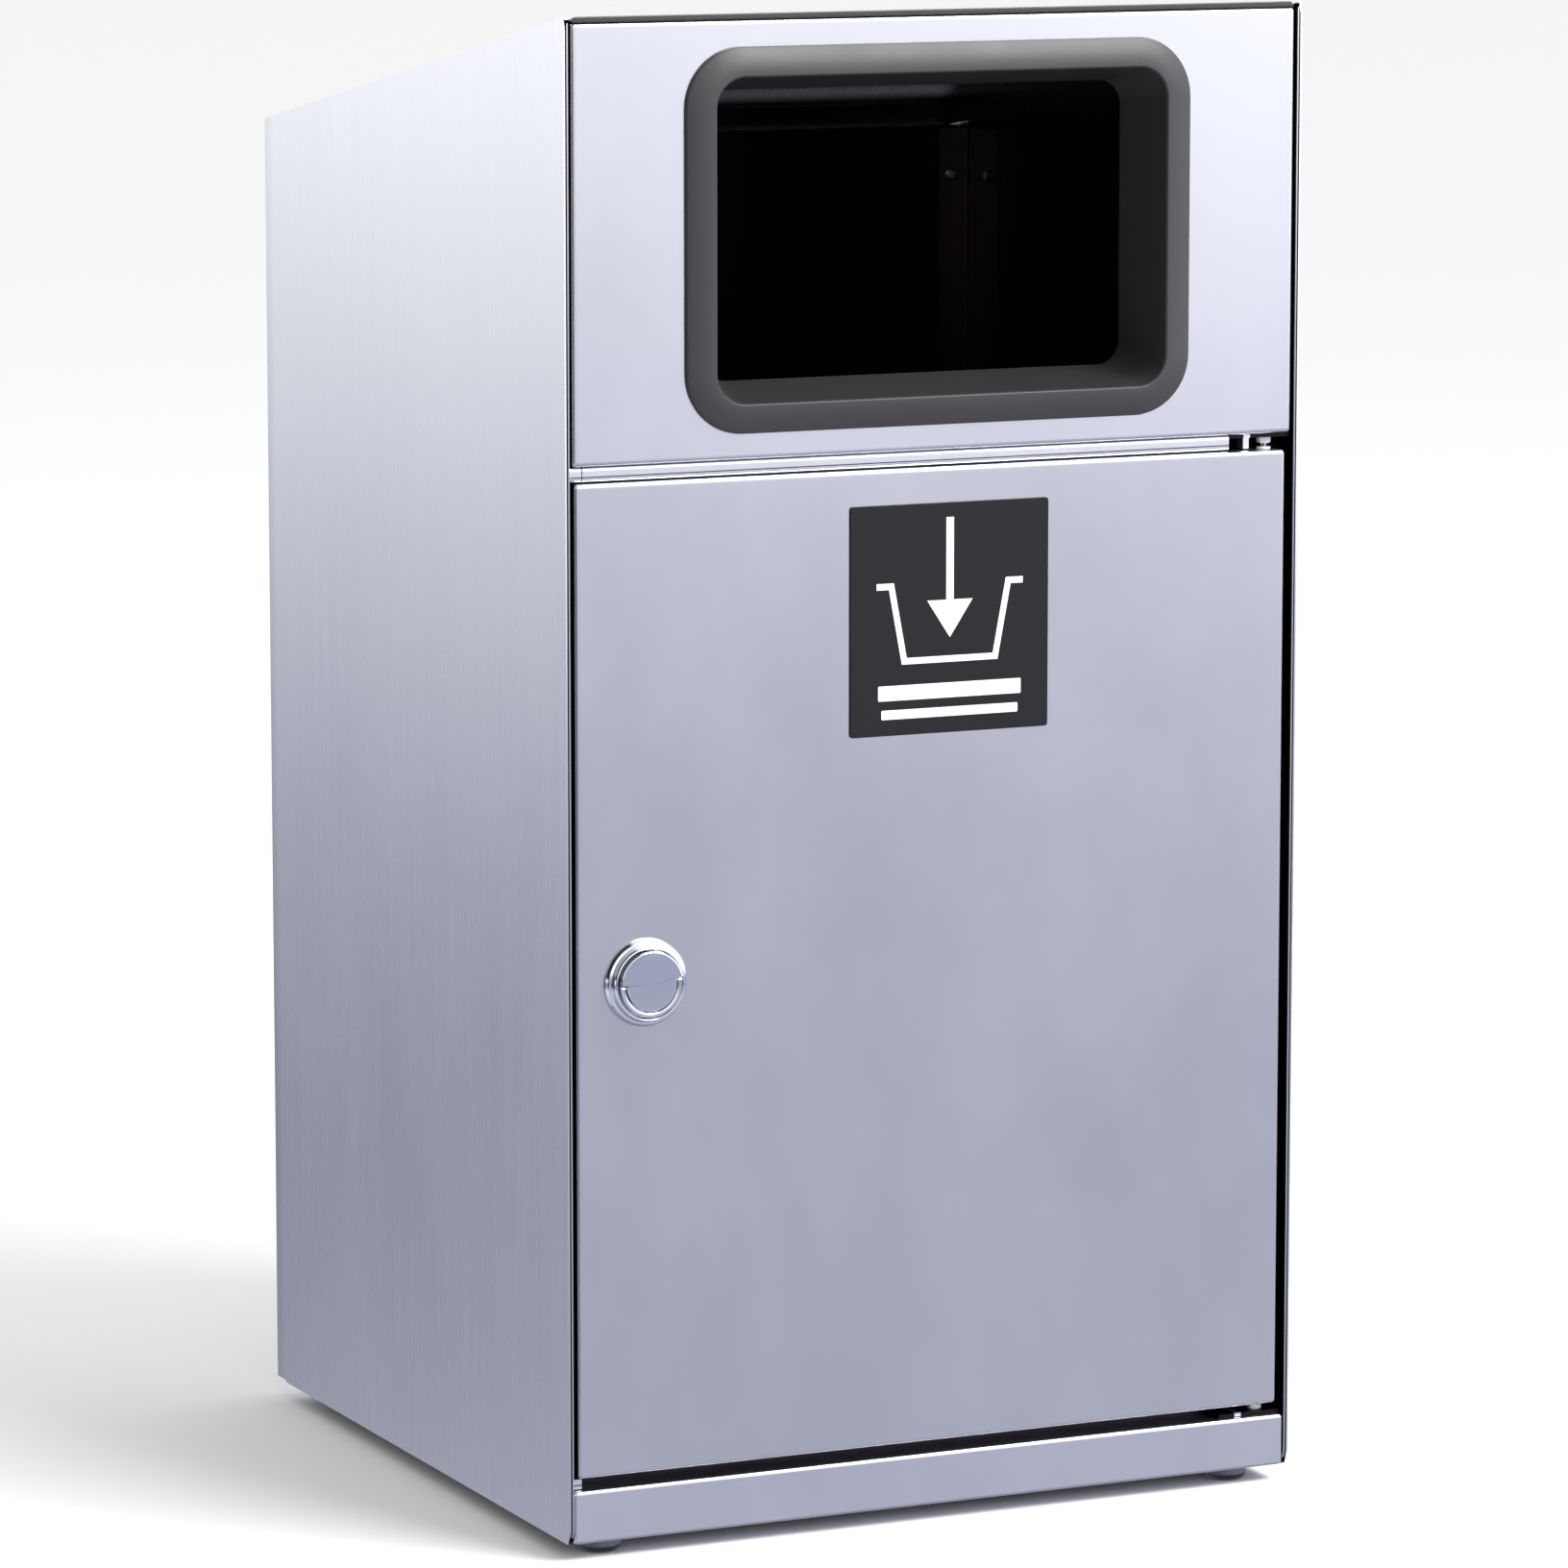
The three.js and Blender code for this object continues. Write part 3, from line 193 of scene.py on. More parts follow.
def rounded_ring(cx, cz, half_x, half_z, radius, steps=8, side=1):
    """Rectangle with quarter-circle corners: centre plus radius times (cos a, sin a), with
    a in `steps` parts at each corner and each straight side in `side` equal parts."""
    angle = np.linspace(0, pi / 2, steps + 1)
    arcs = []
    for quarter, (sx, sz) in enumerate([(1, 1), (-1, 1), (-1, -1), (1, -1)]):
        turn = angle + quarter * pi / 2
        arcs.append(np.stack([cx + sx * (half_x - radius) + radius * np.cos(turn),
                              cz + sz * (half_z - radius) + radius * np.sin(turn)], 1))
    lines = [np.linspace(arcs[k][-1], arcs[(k + 1) % 4][0], side + 1)[1:-1] for k in range(4)]
    return np.concatenate([part for pair in zip(arcs, lines) for part in pair])


def softened(profile, radius, steps=4, closed=False):
    """Rounds each corner of a line: the quadratic curve from a point `radius` before the
    corner to one as far after it, with a holding point beyond each end, so that the
    straight stretches stay flat when they are shaded smooth."""
    p = np.asarray(profile, float)
    before, after = np.roll(p, 1, 0), np.roll(p, -1, 0)
    if not closed:
        before, after, mid = before[1:-1], after[1:-1], p[1:-1]
    else:
        mid = p
    back, ahead = before - mid, after - mid
    n_back = np.linalg.norm(back, axis=1, keepdims=True)
    n_ahead = np.linalg.norm(ahead, axis=1, keepdims=True)
    cut = np.minimum(radius, 0.3 * np.minimum(n_back, n_ahead))
    start, end = mid + back / n_back * cut, mid + ahead / n_ahead * cut
    t = np.linspace(0, 1, steps + 1)[None, :, None]
    curve = ((1 - t) ** 2 * start[:, None] + 2 * t * (1 - t) * mid[:, None]
             + t ** 2 * end[:, None])
    hold_in = (mid + back / n_back * cut * 1.5)[:, None]
    hold_out = (mid + ahead / n_ahead * cut * 1.5)[:, None]
    line = np.concatenate([hold_in, curve, hold_out], 1).reshape(-1, 2)
    return line if closed else np.concatenate([p[:1], line, p[-1:]])


def folded_lines(path, thickness, inside, steps):
    """The two faces of a folded sheet. The path is one face and the thickness lies to its
    left; at each corner both faces follow arcs about one centre, inside and outside."""
    path = np.asarray(path, float)
    face, back = [], []
    for i, p in enumerate(path):
        ways = [path[k + 1] - path[k] for k in (i - 1, i) if 0 <= k < len(path) - 1]
        ways = [way / np.linalg.norm(way) for way in ways]
        left = np.array([-ways[0][1], ways[0][0]])
        turn = 0.0
        if len(ways) == 2:
            turn = atan2(ways[0][0] * ways[1][1] - ways[0][1] * ways[1][0], ways[0] @ ways[1])
        if abs(turn) < 1e-6:
            face.append(p[None])
            back.append((p + left * thickness)[None])
            continue
        to_left = turn > 0
        radii = (inside + thickness, inside) if to_left else (inside, inside + thickness)
        inward = left if to_left else -left
        centre = p - ways[0] * radii[0] * tan(abs(turn) / 2) + inward * radii[0]
        angle = atan2(-inward[1], -inward[0]) + np.linspace(0, turn, steps + 1)
        ray = np.stack([np.cos(angle), np.sin(angle)], 1)
        face.append(centre + ray * radii[0])
        back.append(centre + ray * radii[1])
    return np.concatenate(face), np.concatenate(back)


class Shape:
    """Points and faces of one piece, gathered from closed surfaces."""

    def __init__(self):
        self.points, self.faces, self.count = [], [], 0

    def grid(self, points, wrap=False, caps=True):
        """Four-sided faces between neighbours of a grid of points. Each row closes on
        itself; with wrap the last row joins the first, else caps close both ends."""
        rows, columns = points.shape[:2]
        i, j = np.meshgrid(np.arange(rows if wrap else rows - 1), np.arange(columns),
                           indexing="ij")
        below, beside = (i + 1) % rows, (j + 1) % columns
        quads = np.stack([i * columns + j, i * columns + beside,
                          below * columns + beside, below * columns + j], -1)
        self.points.append(points.reshape(-1, 3))
        self.faces += (quads.reshape(-1, 4) + self.count).tolist()
        if caps and not wrap:
            ends = np.arange(columns) + self.count
            self.faces += [ends.tolist(), (ends + (rows - 1) * columns).tolist()]
        self.count += rows * columns
        return self

    def lathe(self, profile, centre, axis="y", segments=None, closed=False):
        """Surface of revolution: radius times (cos t, sin t) across the axis and the
        profile's second value along it, moved to the centre."""
        t = np.linspace(0, 2 * pi, segments or sizes().round_steps, endpoint=False)
        radius, along = np.asarray(profile, float).T[:, :, None]
        order = {"x": "yzx", "y": "xzy", "z": "xyz"}[axis]
        points = placed(radius * np.cos(t), radius * np.sin(t), along, order)
        return self.grid(points + np.asarray(centre), wrap=closed, caps=False)

    def prism(self, outline, low, high, order="xzy"):
        """A closed outline pushed from one value of the third axis to another."""
        u, v = np.asarray(outline, float).T
        return self.grid(placed(u, v, np.array([[low], [high]]), order))

    def block(self, low, high, edge=0.0):
        """A rectangular bar whose long edges are rounded in plan with the radius edge."""
        low, high = np.asarray(low), np.asarray(high)
        corners = [(low[0], low[1]), (high[0], low[1]), (high[0], high[1]), (low[0], high[1])]
        outline = softened(corners, edge, 3, closed=True) if edge else corners
        return self.prism(outline, low[2], high[2], "xyz")

    def sheet(self, path, low, high, order, thickness=None):
        """A folded sheet whose ends lie at the heights low(u, v) and high(u, v)."""
        s = sizes()
        face, back = folded_lines(path, thickness or s.sheet, s.fold, s.fold_steps)
        outline = np.concatenate([face, back[::-1]])
        ends = np.stack([low(*outline.T), high(*outline.T)])
        first = self.count
        self.grid(placed(outline[:, 0], outline[:, 1], ends, order), caps=False)
        k = np.arange(len(face) - 1)
        across = 2 * len(face) - 1 - k
        for start in (first, first + len(outline)):
            quads = np.stack([k, k + 1, across - 1, across], 1) + start
            self.faces += quads.tolist()
        return self

    def pan(self, low, high, front, depth, hole=None):
        """A folded pan: rings about one centre run out over the flat front, round the fold
        (inset R - R sin a, depth R - R cos a), back along the flanges and in again along
        the inner faces. depth(z) is how far back the flanges reach; hole is a ring that
        the flat front stops at."""
        s = sizes()
        outer, inner, t = s.fold + s.sheet, s.fold, s.sheet
        hold = 0.0005
        a = np.linspace(0, pi / 2, s.fold_steps + 1)
        inset = np.concatenate([[outer + hold], outer - outer * np.sin(a), [0, 0, t, t],
                                (outer - inner * np.sin(a))[::-1], [outer + hold]])
        back = np.concatenate([[0], outer - outer * np.cos(a), [outer + hold, np.nan, np.nan,
                               outer + hold], (outer - inner * np.cos(a))[::-1], [t]])
        cx, cz = (low[0] + high[0]) / 2, (low[1] + high[1]) / 2
        half_x, half_z = (high[0] - low[0]) / 2, (high[1] - low[1]) / 2
        rings = []
        for d, y in zip(inset, back):
            ring = rounded_ring(cx, cz, half_x - d, half_z - d, max(s.corner - d, 0.0002),
                                6, 12)
            reach = depth(ring[:, 1]) if np.isnan(y) else np.full(len(ring), y)
            rings.append(placed(ring[:, 0], ring[:, 1], front + reach, "xzy"))
        if hole is not None:
            rings = [placed(hole[:, 0], hole[:, 1], front, "xzy"), *rings,
                     placed(hole[:, 0], hole[:, 1], front + t, "xzy")]
        return self.grid(np.stack(rings), wrap=hole is not None)

    def tilted(self, centre, angle):
        """Turns the whole shape about the y axis through the centre."""
        c, s = cos(angle), sin(angle)
        for points in self.points:
            x, z = points[:, 0] - centre[0], points[:, 2] - centre[2]
            points[:, 0], points[:, 2] = centre[0] + x * c - z * s, centre[2] + x * s + z * c
        return self

    def mirrored(self):
        """Swaps left and right."""
        for points in self.points:
            points[:, 0] *= -1
        return self

    def build(self, name, finish, body, stands_for=(), slot=None, sharp=32):
        """Makes the object: doubles merged, faces outwards, edges past `sharp` kept."""
        mesh = bpy.data.meshes.new(name)
        mesh.from_pydata(np.concatenate(self.points).tolist(), [], self.faces)
        shell = bmesh.new()
        shell.from_mesh(mesh)
        bmesh.ops.remove_doubles(shell, verts=shell.verts, dist=1e-6)
        bmesh.ops.dissolve_degenerate(shell, edges=shell.edges, dist=1e-7)
        bmesh.ops.recalc_face_normals(shell, faces=shell.faces)
        shell.to_mesh(mesh)
        shell.free()
        mesh.shade_smooth()
        mesh.set_sharp_from_angle(angle=radians(sharp))
        mesh.materials.append(finish)
        made = shown(name, mesh)
        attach(made, body)
        if stands_for:
            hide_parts(*stands_for)
        return made


# ----------------------------------------------------------------- finishes


class Link:
    """A socket of a shader tree. Arithmetic on it adds Math nodes."""

    def __init__(self, tree, socket):
        self.tree, self.socket = tree, socket

    def math(self, operation, *values, clamp=False):
        return self.tree.node("ShaderNodeMath", {"operation": operation, "use_clamp": clamp},
                              dict(enumerate(values)))

    def __add__(self, other):
        return self.math("ADD", self, other)

    __radd__ = __add__

    def __sub__(self, other):
        return self.math("SUBTRACT", self, other)

    def __rsub__(self, other):
        return self.math("SUBTRACT", other, self)

    def __mul__(self, other):
        return self.math("MULTIPLY", self, other)

    __rmul__ = __mul__

    def clamped(self):
        return self.math("ADD", self, 0.0, clamp=True)

    def between(self, low, high):
        """0 below low, 1 above high and a smooth rise between them."""
        return self.tree.node("ShaderNodeMapRange", {"interpolation_type": "SMOOTHSTEP"},
                              {"Value": self, "From Min": low, "From Max": high})


class Tree:
    """A shader tree of a material or the world, emptied first."""

    def __init__(self, owner):
        owner.use_nodes = True
        self.tree = owner.node_tree
        self.tree.nodes.clear()

    def node(self, kind, settings=None, sockets=None, output=0):
        """Adds a node: settings first, then each socket's value or link."""
        made = self.tree.nodes.new(kind)
        for name, value in (settings or {}).items():
            if name == "stops":
                self.set_stops(made.color_ramp, value)
            else:
                setattr(made, name, value)
        for name, value in (sockets or {}).items():
            if isinstance(value, Link):
                self.tree.links.new(value.socket, made.inputs[name])
            else:
                made.inputs[name].default_value = value
        return Link(self, made.outputs[output]) if made.outputs else made

    @staticmethod
    def set_stops(ramp, stops):
        while len(ramp.elements) < len(stops):
            ramp.elements.new(1.0)
        for element, (position, color) in zip(ramp.elements, stops):
            element.position, element.color = position, color

    def place(self):
        """Object coordinates."""
        return self.node("ShaderNodeTexCoord", output=3)

    def axes(self, vector):
        """The x, y and z of a vector."""
        return [self.node("ShaderNodeSeparateXYZ", None, {0: vector}, k) for k in range(3)]

    def noise(self, scale, detail=2.0, rough=0.5):
        """Noise with cells of 1 / scale metres along x, y and z."""
        vector = self.node("ShaderNodeMapping", None, {"Vector": self.place(), "Scale": scale})
        return self.node("ShaderNodeTexNoise", None,
                         {"Vector": vector, "Scale": 1.0, "Detail": detail, "Roughness": rough})

    def above(self, value, limit):
        """1 where the value is above the limit, else 0."""
        return self.node("ShaderNodeMath", {"operation": "GREATER_THAN"},
                         {0: value, 1: limit})

    def mixed(self, factor, first, second):
        """Colour between two colours."""
        return self.node("ShaderNodeMix", {"data_type": "RGBA"},
                         {0: factor, 6: first, 7: second}, output=2)

    def bump(self, height, distance, normal=None):
        sockets = {"Height": height, "Distance": distance, "Strength": 1.0}
        if normal:
            sockets["Normal"] = normal
        return self.node("ShaderNodeBump", None, sockets)

    def surface(self, **sockets):
        """Principled surface; underscores in the names stand for spaces."""
        named = {name.replace("_", " "): value for name, value in sockets.items()}
        shader = self.node("ShaderNodeBsdfPrincipled", None, named)
        self.node("ShaderNodeOutputMaterial", None, {"Surface": shader})


def rgba(color, gain=1.0):
    return tuple(min(1.0, value * gain) for value in color) + (1.0,)


def finish_named(name, paint):
    """The material of that name; `paint` fills its tree the first time."""
    found = bpy.data.materials.get(name)
    if found is None:
        found = bpy.data.materials.new(name)
        paint(Tree(found))
    return found


def hairline_steel(name, color, rough, along, rear):
    """Brushed sheet: fine lines stretched along one axis in bump and roughness, with faint
    handling marks that change the roughness over a hand's width. Faces inside the case,
    in front of the y called rear, get a dark base colour: painted shade for the dim inside."""

    def paint(tree):
        stretch = [1500.0, 1500.0, 1500.0]
        stretch["xyz".index(along)] = 9.0
        lines = tree.noise(stretch, 3.0, 0.65)
        marks = tree.noise((7.0, 7.0, 5.0), 3.0, 0.55)
        waves = tree.noise((3.1, 3.1, 2.3), 0.0)
        x, y, z = tree.axes(tree.place())
        skin, front_edge = 0.0006, 0.0015
        wall = HALF - skin
        roof = (TOP - skin - 0.0001 + FRONT * ROOF_FALL) - y * ROOF_FALL
        # Painted shade: faces inside the case take the dark base colour in place of the shade
        # there.
        inside = (tree.above(wall, x.math("ABSOLUTE", x)) * tree.above(y, FRONT + front_edge)
                  * tree.above(rear, y) * tree.above(roof, z))
        sheet = tree.mixed(lines.between(0.25, 0.75), rgba(color, 0.94), rgba(color))
        tree.surface(
            Base_Color=tree.mixed(inside, sheet, rgba(tones().shade_coat)),
            Metallic=1.0,
            Roughness=(rough - 0.05 + lines * 0.05 + marks * 0.05).clamped(),
            Normal=tree.bump(lines, 0.000012, tree.bump(waves, 0.0006)))

    return finish_named(name, paint)


def smooth_steel(name, color, rough, spots=0.03):
    """Bright-annealed sheet: shallow waves of the thin sheet and soft wiping marks."""

    def paint(tree):
        waves = tree.noise((4.3, 4.3, 3.7), 0.0)
        grain = tree.noise((900.0, 900.0, 900.0), 2.0, 0.6)
        marks = tree.noise((11.0, 11.0, 6.0), 4.0, 0.6)
        tree.surface(
            Base_Color=tree.mixed(marks.between(0.3, 0.7), rgba(color, 0.965), rgba(color)),
            Metallic=1.0,
            Roughness=(rough - spots + marks * 2 * spots).clamped(),
            Normal=tree.bump(grain, 0.000002, tree.bump(waves, 0.0004)))

    return finish_named(name, paint)


def chrome_plate():
    def paint(tree):
        smear = tree.noise((160.0, 160.0, 160.0), 3.0, 0.6)
        tree.surface(Base_Color=rgba(tones().chrome), Metallic=1.0,
                     Roughness=0.05 + smear * 0.06)

    return finish_named("Chrome plate", paint)


def moulded(name, color, rough, cell, depth, speck=0.85, shine=0.5):
    """Moulded plastic or rubber: a fine spark-eroded grain of cells `cell` metres wide."""

    def paint(tree):
        grain = tree.noise((1 / cell,) * 3, 2.0, 0.6)
        worn = tree.noise((24.0, 24.0, 24.0), 3.0, 0.6)
        tree.surface(
            Base_Color=tree.mixed(grain.between(0.3, 0.7), rgba(color, speck), rgba(color)),
            Roughness=(rough - 0.06 + worn * 0.12).clamped(), Specular_IOR_Level=shine,
            Normal=tree.bump(grain, depth))

    return finish_named(name, paint)


def satin_side():
    return hairline_steel("Satin side sheet", tones().satin, tones().satin_rough, "z",
                          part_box("rear_panel")[0].y + 0.0004)


def satin_roof():
    return hairline_steel("Satin roof sheet", tones().satin, tones().satin_rough, "y",
                          ROOF_REAR - 0.0006)


def bright_front():
    return smooth_steel("Bright front sheet", tones().bright, tones().bright_rough)


# Painted shade: the door is the bright front steel darkened to 0.93, a shaded copy of that
# material.
def shaded_door_sheet():
    return smooth_steel("Door sheet, painted shade", [0.93 * v for v in tones().bright],
                        tones().bright_rough)


def plain_inner():
    return smooth_steel("Plain inner sheet", tones().plain, tones().plain_rough, 0.06)


def shade_coated(name, color, unshaded=None, steel=None):
    """Painted shade: a dark base colour on the inner sheets in place of the shade that falls there;
    the optional mask of x, y and z is 1 where the bright steel shows.
    """

    def paint(tree):
        base = rgba(color)
        if unshaded:
            base = tree.mixed(unshaded(*tree.axes(tree.place())), base, rgba(steel))
        shade_coat = tree.noise((60.0, 60.0, 60.0), 3.0, 0.6)
        tree.surface(Base_Color=base, Metallic=1.0,
                     Roughness=(tones().bright_rough + shade_coat * 0.16).clamped())

    return finish_named(name, paint)


# Painted shade: the dark inner material for parts that sit in the shade inside the case.
def shaded_inner():
    return shade_coated("Inner painted shade", tones().shade_coat)


def window_plastic():
    return moulded("Window plastic", tones().plastic, 0.46, 0.0007, 0.00001)


def rubber():
    return moulded("Moulded rubber", tones().rubber, 0.55, 0.0009, 0.00002)


def hinge_nylon():
    return moulded("Hinge nylon", tones().nylon, 0.3, 0.0008, 0.000003, 0.97)


# -------------------------------------------------------------------- pieces


class PieceOperator:
    """What every piece's operator shares."""

    bl_options = {"REGISTER", "UNDO"}

    def execute(self, context):
        self.make()
        return {"FINISHED"}


class CABINET_OT_side_panels(PieceOperator, bpy.types.Operator):
    """Side panels: sheet folded in at the back, with an open hem along the front edge."""

    bl_idname = "cabinet.side_panels"
    bl_label = "Side panels"

    def make(self):
        s = sizes()
        clip_top, clip_foot = (0.0022, 0.007), (0.003, 0.008)
        heel, heel_rise, heel_slope, flange, roof_lap = 0.014, 0.0013, 0.003, 0.015, 0.026

        def low(x, y):
            """Clipped at the front foot and raised a little along the rear heel."""
            foot = BOTTOM + clip_foot[1] * np.clip(1 - (y - FRONT) / clip_foot[0], 0, 1)
            rise = np.clip((y - (REAR - heel - heel_slope)) / heel_slope, 0, 1)
            return np.maximum(foot, BOTTOM + heel_rise * rise)

        def high(x, y):
            """Follows the roof; the rear flange stops below the roof's own flange."""
            start = TOP - clip_top[1]
            share_up = np.clip((y - FRONT) / clip_top[0], 0, 1)
            slope = start + (roof_at(FRONT + clip_top[0]) - start) * share_up
            tall = np.where(y - FRONT < clip_top[0], slope, roof_at(y))
            return np.where(x < HALF - 0.0015, roof_at(REAR) - roof_lap, tall)

        line = [FRONT, FRONT + clip_top[0], FRONT + clip_foot[0],
                REAR - heel - heel_slope, REAR - heel, REAR]
        path = [(HALF, y) for y in line] + [(HALF - flange, REAR)]
        hem = 0.012
        outer, inner = HALF - s.sheet - s.hem_gap, HALF - s.sheet - s.hem_gap - s.hem_leaf
        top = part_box("roof_front_trim")[0].z - 0.0003
        side_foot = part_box("bottom_rail")[1].y + 0.002
        base_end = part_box("rear_panel")[0].y - 0.002
        for sign, node in ((1, "side_panel_right"), (-1, "side_panel_left")):
            shape = Shape().sheet(path, low, high, "xyz")
            shape.prism([(FRONT, BOTTOM + clip_foot[1]), (FRONT + clip_foot[0], BOTTOM),
                         (FRONT + hem, BOTTOM), (FRONT + hem, top), (FRONT, top)],
                        inner, outer, "yzx")
            shape.block((outer - 0.0001, FRONT + hem - 0.004, BOTTOM),
                        (HALF - s.sheet + 0.0001, FRONT + hem, top))
            shape.block((HALF - flange, side_foot, BOTTOM),
                        (HALF - 0.0005, base_end, BOTTOM + s.sheet))
            if sign < 0:
                shape.mirrored()
            shape.build(node.replace("side_panel", "side_sheet"), satin_side(), "cabinet",
                        [node], "satin_steel")


class CABINET_OT_front_panels(PieceOperator, bpy.types.Operator):
    """Door front and upper front panel, folded back on all four sides."""

    bl_idname = "cabinet.front_panels"
    bl_label = "Front panels"

    def make(self):
        low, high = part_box("door_panel")
        Shape().pan((low.x, low.z), (high.x, high.z), FRONT,
                    lambda z: np.full(len(z), high.y - low.y)).build(
            "door_front_pan", shaded_door_sheet(), "door", ["door_panel"], "bright_steel")
        low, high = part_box("upper_front_panel")
        centre, half = middle("window_frame"), half_size("window_frame")
        lap, upper_flange, reach, top = 0.014, 0.008, high.y - low.y, high.z
        hole = rounded_ring(centre.x, centre.z, half.x - lap, half.z - lap, 0.02, 6, 12)
        Shape().pan((low.x, low.z), (high.x, high.z), FRONT,
                    lambda z: np.where(z > top - 0.009, upper_flange, reach), hole).build(
            "upper_front_pan", bright_front(), "cabinet", ["upper_front_panel"],
            "bright_steel")


class CABINET_OT_window_bezel(PieceOperator, bpy.types.Operator):
    """Moulded window frame: a band that rises towards the opening as a power of a sine, and
    a sleeve that narrows into the case."""

    bl_idname = "cabinet.window_bezel"
    bl_label = "Window bezel"

    def make(self):
        s = sizes()
        low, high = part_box("window_frame")
        band, corner, taper, wall, foot = 0.017, 0.034, 0.009, 0.002, 0.36
        proud, back = FRONT - low.y, high.y
        share_in = np.linspace(0, 1, 17)
        crown = foot + (1 - foot) * np.sin(share_in * pi / 2) ** s.crown
        outline = np.stack([band * (0.03 + 0.92 * share_in), FRONT - proud * crown], 1)
        seat = FRONT - 0.0003
        section = np.concatenate([
            [(0, seat)], outline,
            [(band, FRONT - proud * 0.86), (band + taper, back),
             (band + taper - wall, back), (band - wall, seat)]])
        section = softened(section, 0.0007, 3, closed=True)
        inset, y = section.T
        radius = np.where(inset <= band, corner - inset, corner - band - 0.4 * (inset - band))
        centre, half = middle("window_frame"), half_size("window_frame")
        rings = []
        for d, depth, r in zip(inset, y, radius):
            ring = rounded_ring(centre.x, centre.z, half.x - d, half.z - d, r, 16, 4)
            rings.append(placed(ring[:, 0], ring[:, 1], depth, "xzy"))
        Shape().grid(np.stack(rings), wrap=True).build(
            "window_bezel", window_plastic(), "cabinet", ["window_frame"], "dark_plastic", 50)


class CABINET_OT_kick_rail(PieceOperator, bpy.types.Operator):
    """Kick rail under the door: a folded face with a stop lip behind it."""

    bl_idname = "cabinet.kick_rail"
    bl_label = "Kick rail"

    def make(self):
        s = sizes()
        low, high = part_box("bottom_rail")
        gap_below_door, depth = 0.0069, 0.0195
        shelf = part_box("door_panel")[0].z - gap_below_door
        Shape().pan((low.x, low.z), (high.x, shelf), FRONT,
                    lambda z: np.full(len(z), depth)).build(
            "kick_rail", bright_front(), "cabinet", ["bottom_rail"], "bright_steel")
        shape = Shape()
        post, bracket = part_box("front_post_left")[0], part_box("hinge_bracket_lower")[0]
        left, right, stop = post.x + 0.012, bracket.x - 0.0004, post.y + 0.019
        front, under = FRONT + depth - s.sheet, shelf - s.sheet
        lip = [(high.y, high.z), (stop, high.z), (stop, under), (front, under)]
        shape.sheet(lip, lambda u, v: np.full(len(u), left),
                    lambda u, v: np.full(len(u), right), "yzx")
        foot_half = 0.18
        shape.block((-foot_half, front, low.z + 0.00005), (foot_half, high.y, low.z + s.sheet))
        # Painted shade: the stop lip and its foot plate take the dark inner base colour.
        shape.build("kick_stop", shaded_inner(), "cabinet", ["bottom_rail"], "bright_steel")


class CABINET_OT_roof_trim(PieceOperator, bpy.types.Operator):
    """Dark strip along the roof's front edge, rounded down at both ends."""

    bl_idname = "cabinet.roof_trim"
    bl_label = "Roof trim"

    def make(self):
        low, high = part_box("roof_front_trim")
        back = high.y
        section = softened([(FRONT, low.z), (back, low.z), (back, roof_at(back)),
                            (FRONT + 0.0004, high.z)], 0.0006, 4, closed=True)
        radius = 0.0026
        a = np.linspace(0, pi / 2, 9)
        run = np.concatenate([radius * (1 - np.cos(a)), [0.01]])
        rise = np.concatenate([np.sin(a), [1.0]]) * 0.97 + 0.03
        short = 0.0040
        x = np.concatenate([low.x + short + run, high.x - short - run[::-1]])
        lift = np.concatenate([rise, rise[::-1]])
        y, z = section.T
        grid = placed(x[:, None], y, low.z + (z - low.z) * lift[:, None], "xyz")
        strip = moulded("Trim strip", tones().trim, 0.3, 0.0012, 0.000004)
        Shape().grid(grid).build("roof_trim_strip", strip, "cabinet", ["roof_front_trim"],
                                 "black_trim")


